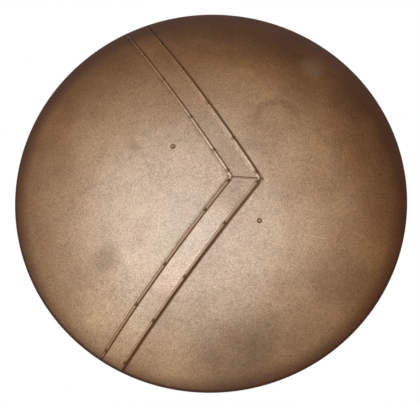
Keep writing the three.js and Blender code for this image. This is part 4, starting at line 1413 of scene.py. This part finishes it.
def sleeve():
    """Leather strip wound round the bar with each turn over the last, on a barrel-shaped core."""
    end, pitch = SLEEVE_HALF, WIND_PITCH
    profile = [(ROD_RADIUS + 0.1, end), (barrel(end) - 1.5, end)]
    for z in np.linspace(end - 0.4, -end + 0.4, 24):
        profile.append((barrel(z) - 0.55 - 0.5 * (abs(z) > end - 0.6), z))
    profile += [(barrel(end) - 1.5, -end), (ROD_RADIUS + 0.1, -end)]
    rows = []
    steps = int((SLEEVE_LENGTH / pitch + 1.2) * WIND_STEPS)
    for i in range(steps + 1):
        a = 2 * math.pi * i / WIND_STEPS
        start = -end - 1.1 * pitch + pitch * i / WIND_STEPS
        wobble = 0.25 * math.sin(1.7 * a) + 0.15 * math.sin(0.61 * a)
        for share, height in LIP:
            z = start + share * pitch + wobble * (0 < share < 0.2)
            z_in = min(max(z, -end + 0.15), end - 0.15)
            r = barrel(z_in) + height * 0.9 - (0.7 if z != z_in else 0.0)
            rows.append((r * math.cos(a), r * math.sin(a), z_in))
    wrap = Shape().lathe(profile, 48, BAR_FRAME).add(rows, grid_faces(steps + 1, len(LIP)), BAR_FRAME)
    undo = np.linalg.inv(BAR_FRAME)

    def edge(p):
        q = moved(p, undo)
        a = np.arctan2(q[:, 1], q[:, 0]) / (2 * math.pi)
        f = (q[:, 2] + end + 1.1 * pitch) / pitch - a
        f = f - np.floor(f)
        return np.clip(1 - np.minimum(f, 1 - f) / 0.1, 0, 1)

    piece("grip_wrap", wrap, GRIP_LEATHER, "grip_leather", body="grip", sharp=70, values={"edge": edge})


def whipping(name, sign):
    """Turns of thread round one end of the sleeve."""
    cord = Shape()
    for k in range(WHIP_TURNS):
        z = sign * (SLEEVE_HALF - 1.6 - WHIP_PITCH * k)
        a = angles_round(40)
        turn_of_thread = circle(barrel(z) + 0.35, a, z + 0.16 * np.sin(a + k))
        cord.tube(turn_of_thread, WHIP_RADIUS, 8, BAR_FRAME, round_path=True)
    piece(f"grip_whipping_{name}", cord, THREAD, body="grip", sharp=80)


def ferrule(name, sign):
    """Turned collar at one end of the sleeve, the same both ways from its middle."""
    frame_here = BAR_FRAME @ shift(0, 0, sign * (SLEEVE_HALF + FIT + FERRULE_LENGTH / 2))
    bore, r, h = ROD_RADIUS, FERRULE_RADIUS, FERRULE_LENGTH / 2
    profile = [(bore + 0.15, h - 0.3), (bore + 0.5, h), (r - 1.5, h), (r - 0.9, h - 0.3), (r - 0.7, h - 0.9)]
    profile += [(r - 1.2, h - 1.3), (r - 1.2, h - 1.6), (r - 0.3, h - 2.0), (r, h - 2.8)]
    profile += [(radius, -height) for radius, height in reversed(profile)]
    shape = Shape().lathe(profile, 56, frame_here, closed=True)
    piece(f"ferrule_{name}", shape, BRASS, f"grip_ferrule_{name}", body="grip", sharp=50)


sleeve()
for name, sign in ENDS:
    whipping(name, sign)
for name, sign in ENDS:
    ferrule(name, sign)


# Floor, world and lamps

def seen_rays(tree):
    """1 for rays from the camera, from a gloss or through glass, which see the plain white of the studio."""
    path = tree.nodes.new("ShaderNodeLightPath")
    seen = path.outputs["Is Camera Ray"]
    for ray in ("Is Glossy Ray", "Is Transmission Ray"):
        either = tree.nodes.new("ShaderNodeMath")
        either.operation = "MAXIMUM"
        tree.links.new(seen, either.inputs[0])
        tree.links.new(path.outputs[ray], either.inputs[1])
        seen = either.outputs[0]
    return seen


def floor_material():
    """Plain pale floor that keeps the shield's shadow."""
    s = Shader("pale_floor")
    s.set(Base_Color=(0.8, 0.8, 0.8, 1.0), Roughness=0.9)
    white = s.node("ShaderNodeEmission")
    both = s.node("ShaderNodeMixShader")
    s.put(Value(s, seen_rays(s.tree)) * FLOOR_WHITE, both.inputs[0])
    s.tree.links.new(s.shader.outputs[0], both.inputs[1])
    s.tree.links.new(white.outputs[0], both.inputs[2])
    s.tree.links.new(both.outputs[0], s.tree.nodes["Material Output"].inputs["Surface"])
    return s.material


FLOOR_HEIGHT, FLOOR_REACH, FLOOR_WHITE = -0.44, 30.0, 0.85
floor_mesh = bpy.data.meshes.new("floor")
corners = [(x * FLOOR_REACH, y * FLOOR_REACH, FLOOR_HEIGHT) for x, y in ((-1, -1), (1, -1), (1, 1), (-1, 1))]
floor_mesh.from_pydata(corners, [], [(0, 1, 2, 3)])
floor = bpy.data.objects.new("floor", floor_mesh)
floor_mesh.materials.append(floor_material())
bpy.context.scene.collection.objects.link(floor)

AMBIENT = 0.2
world = bpy.data.worlds.new("studio")
bpy.context.scene.world = world
world.use_nodes = True
tree = world.node_tree
background = tree.nodes["Background"]
background.inputs["Color"].default_value = (1.0, 1.0, 1.0, 1.0)
strength = tree.nodes.new("ShaderNodeMapRange")
tree.links.new(seen_rays(tree), strength.inputs["Value"])
strength.inputs["To Min"].default_value = AMBIENT
strength.inputs["To Max"].default_value = 1.0
tree.links.new(strength.outputs["Result"], background.inputs["Strength"])


# Soft round lamps that point at the shield's middle, as (name, place, size, power)
LAMPS = (
    ("key", (-0.33, -1.56, -0.139), 0.8, 12.0),
    ("left", (-0.914, -1.306, -0.139), 0.5, 3.0),
    ("right", (0.914, -1.306, -0.139), 0.5, 4.0),
    ("back", (0.5, 2.4, 1.1), 1.8, 34.0),
)
for name, place, size, power in LAMPS:
    data = bpy.data.lights.new(name, "AREA")
    data.shape, data.size, data.energy = "DISK", size, power
    lamp = bpy.data.objects.new(name, data)
    lamp.location = place
    lamp.rotation_mode = "QUATERNION"
    lamp.rotation_quaternion = (-Vector(place)).to_track_quat("-Z", "Y")
    lamp.visible_camera = False
    bpy.context.scene.collection.objects.link(lamp)

bpy.context.scene.view_settings.view_transform = "Standard"
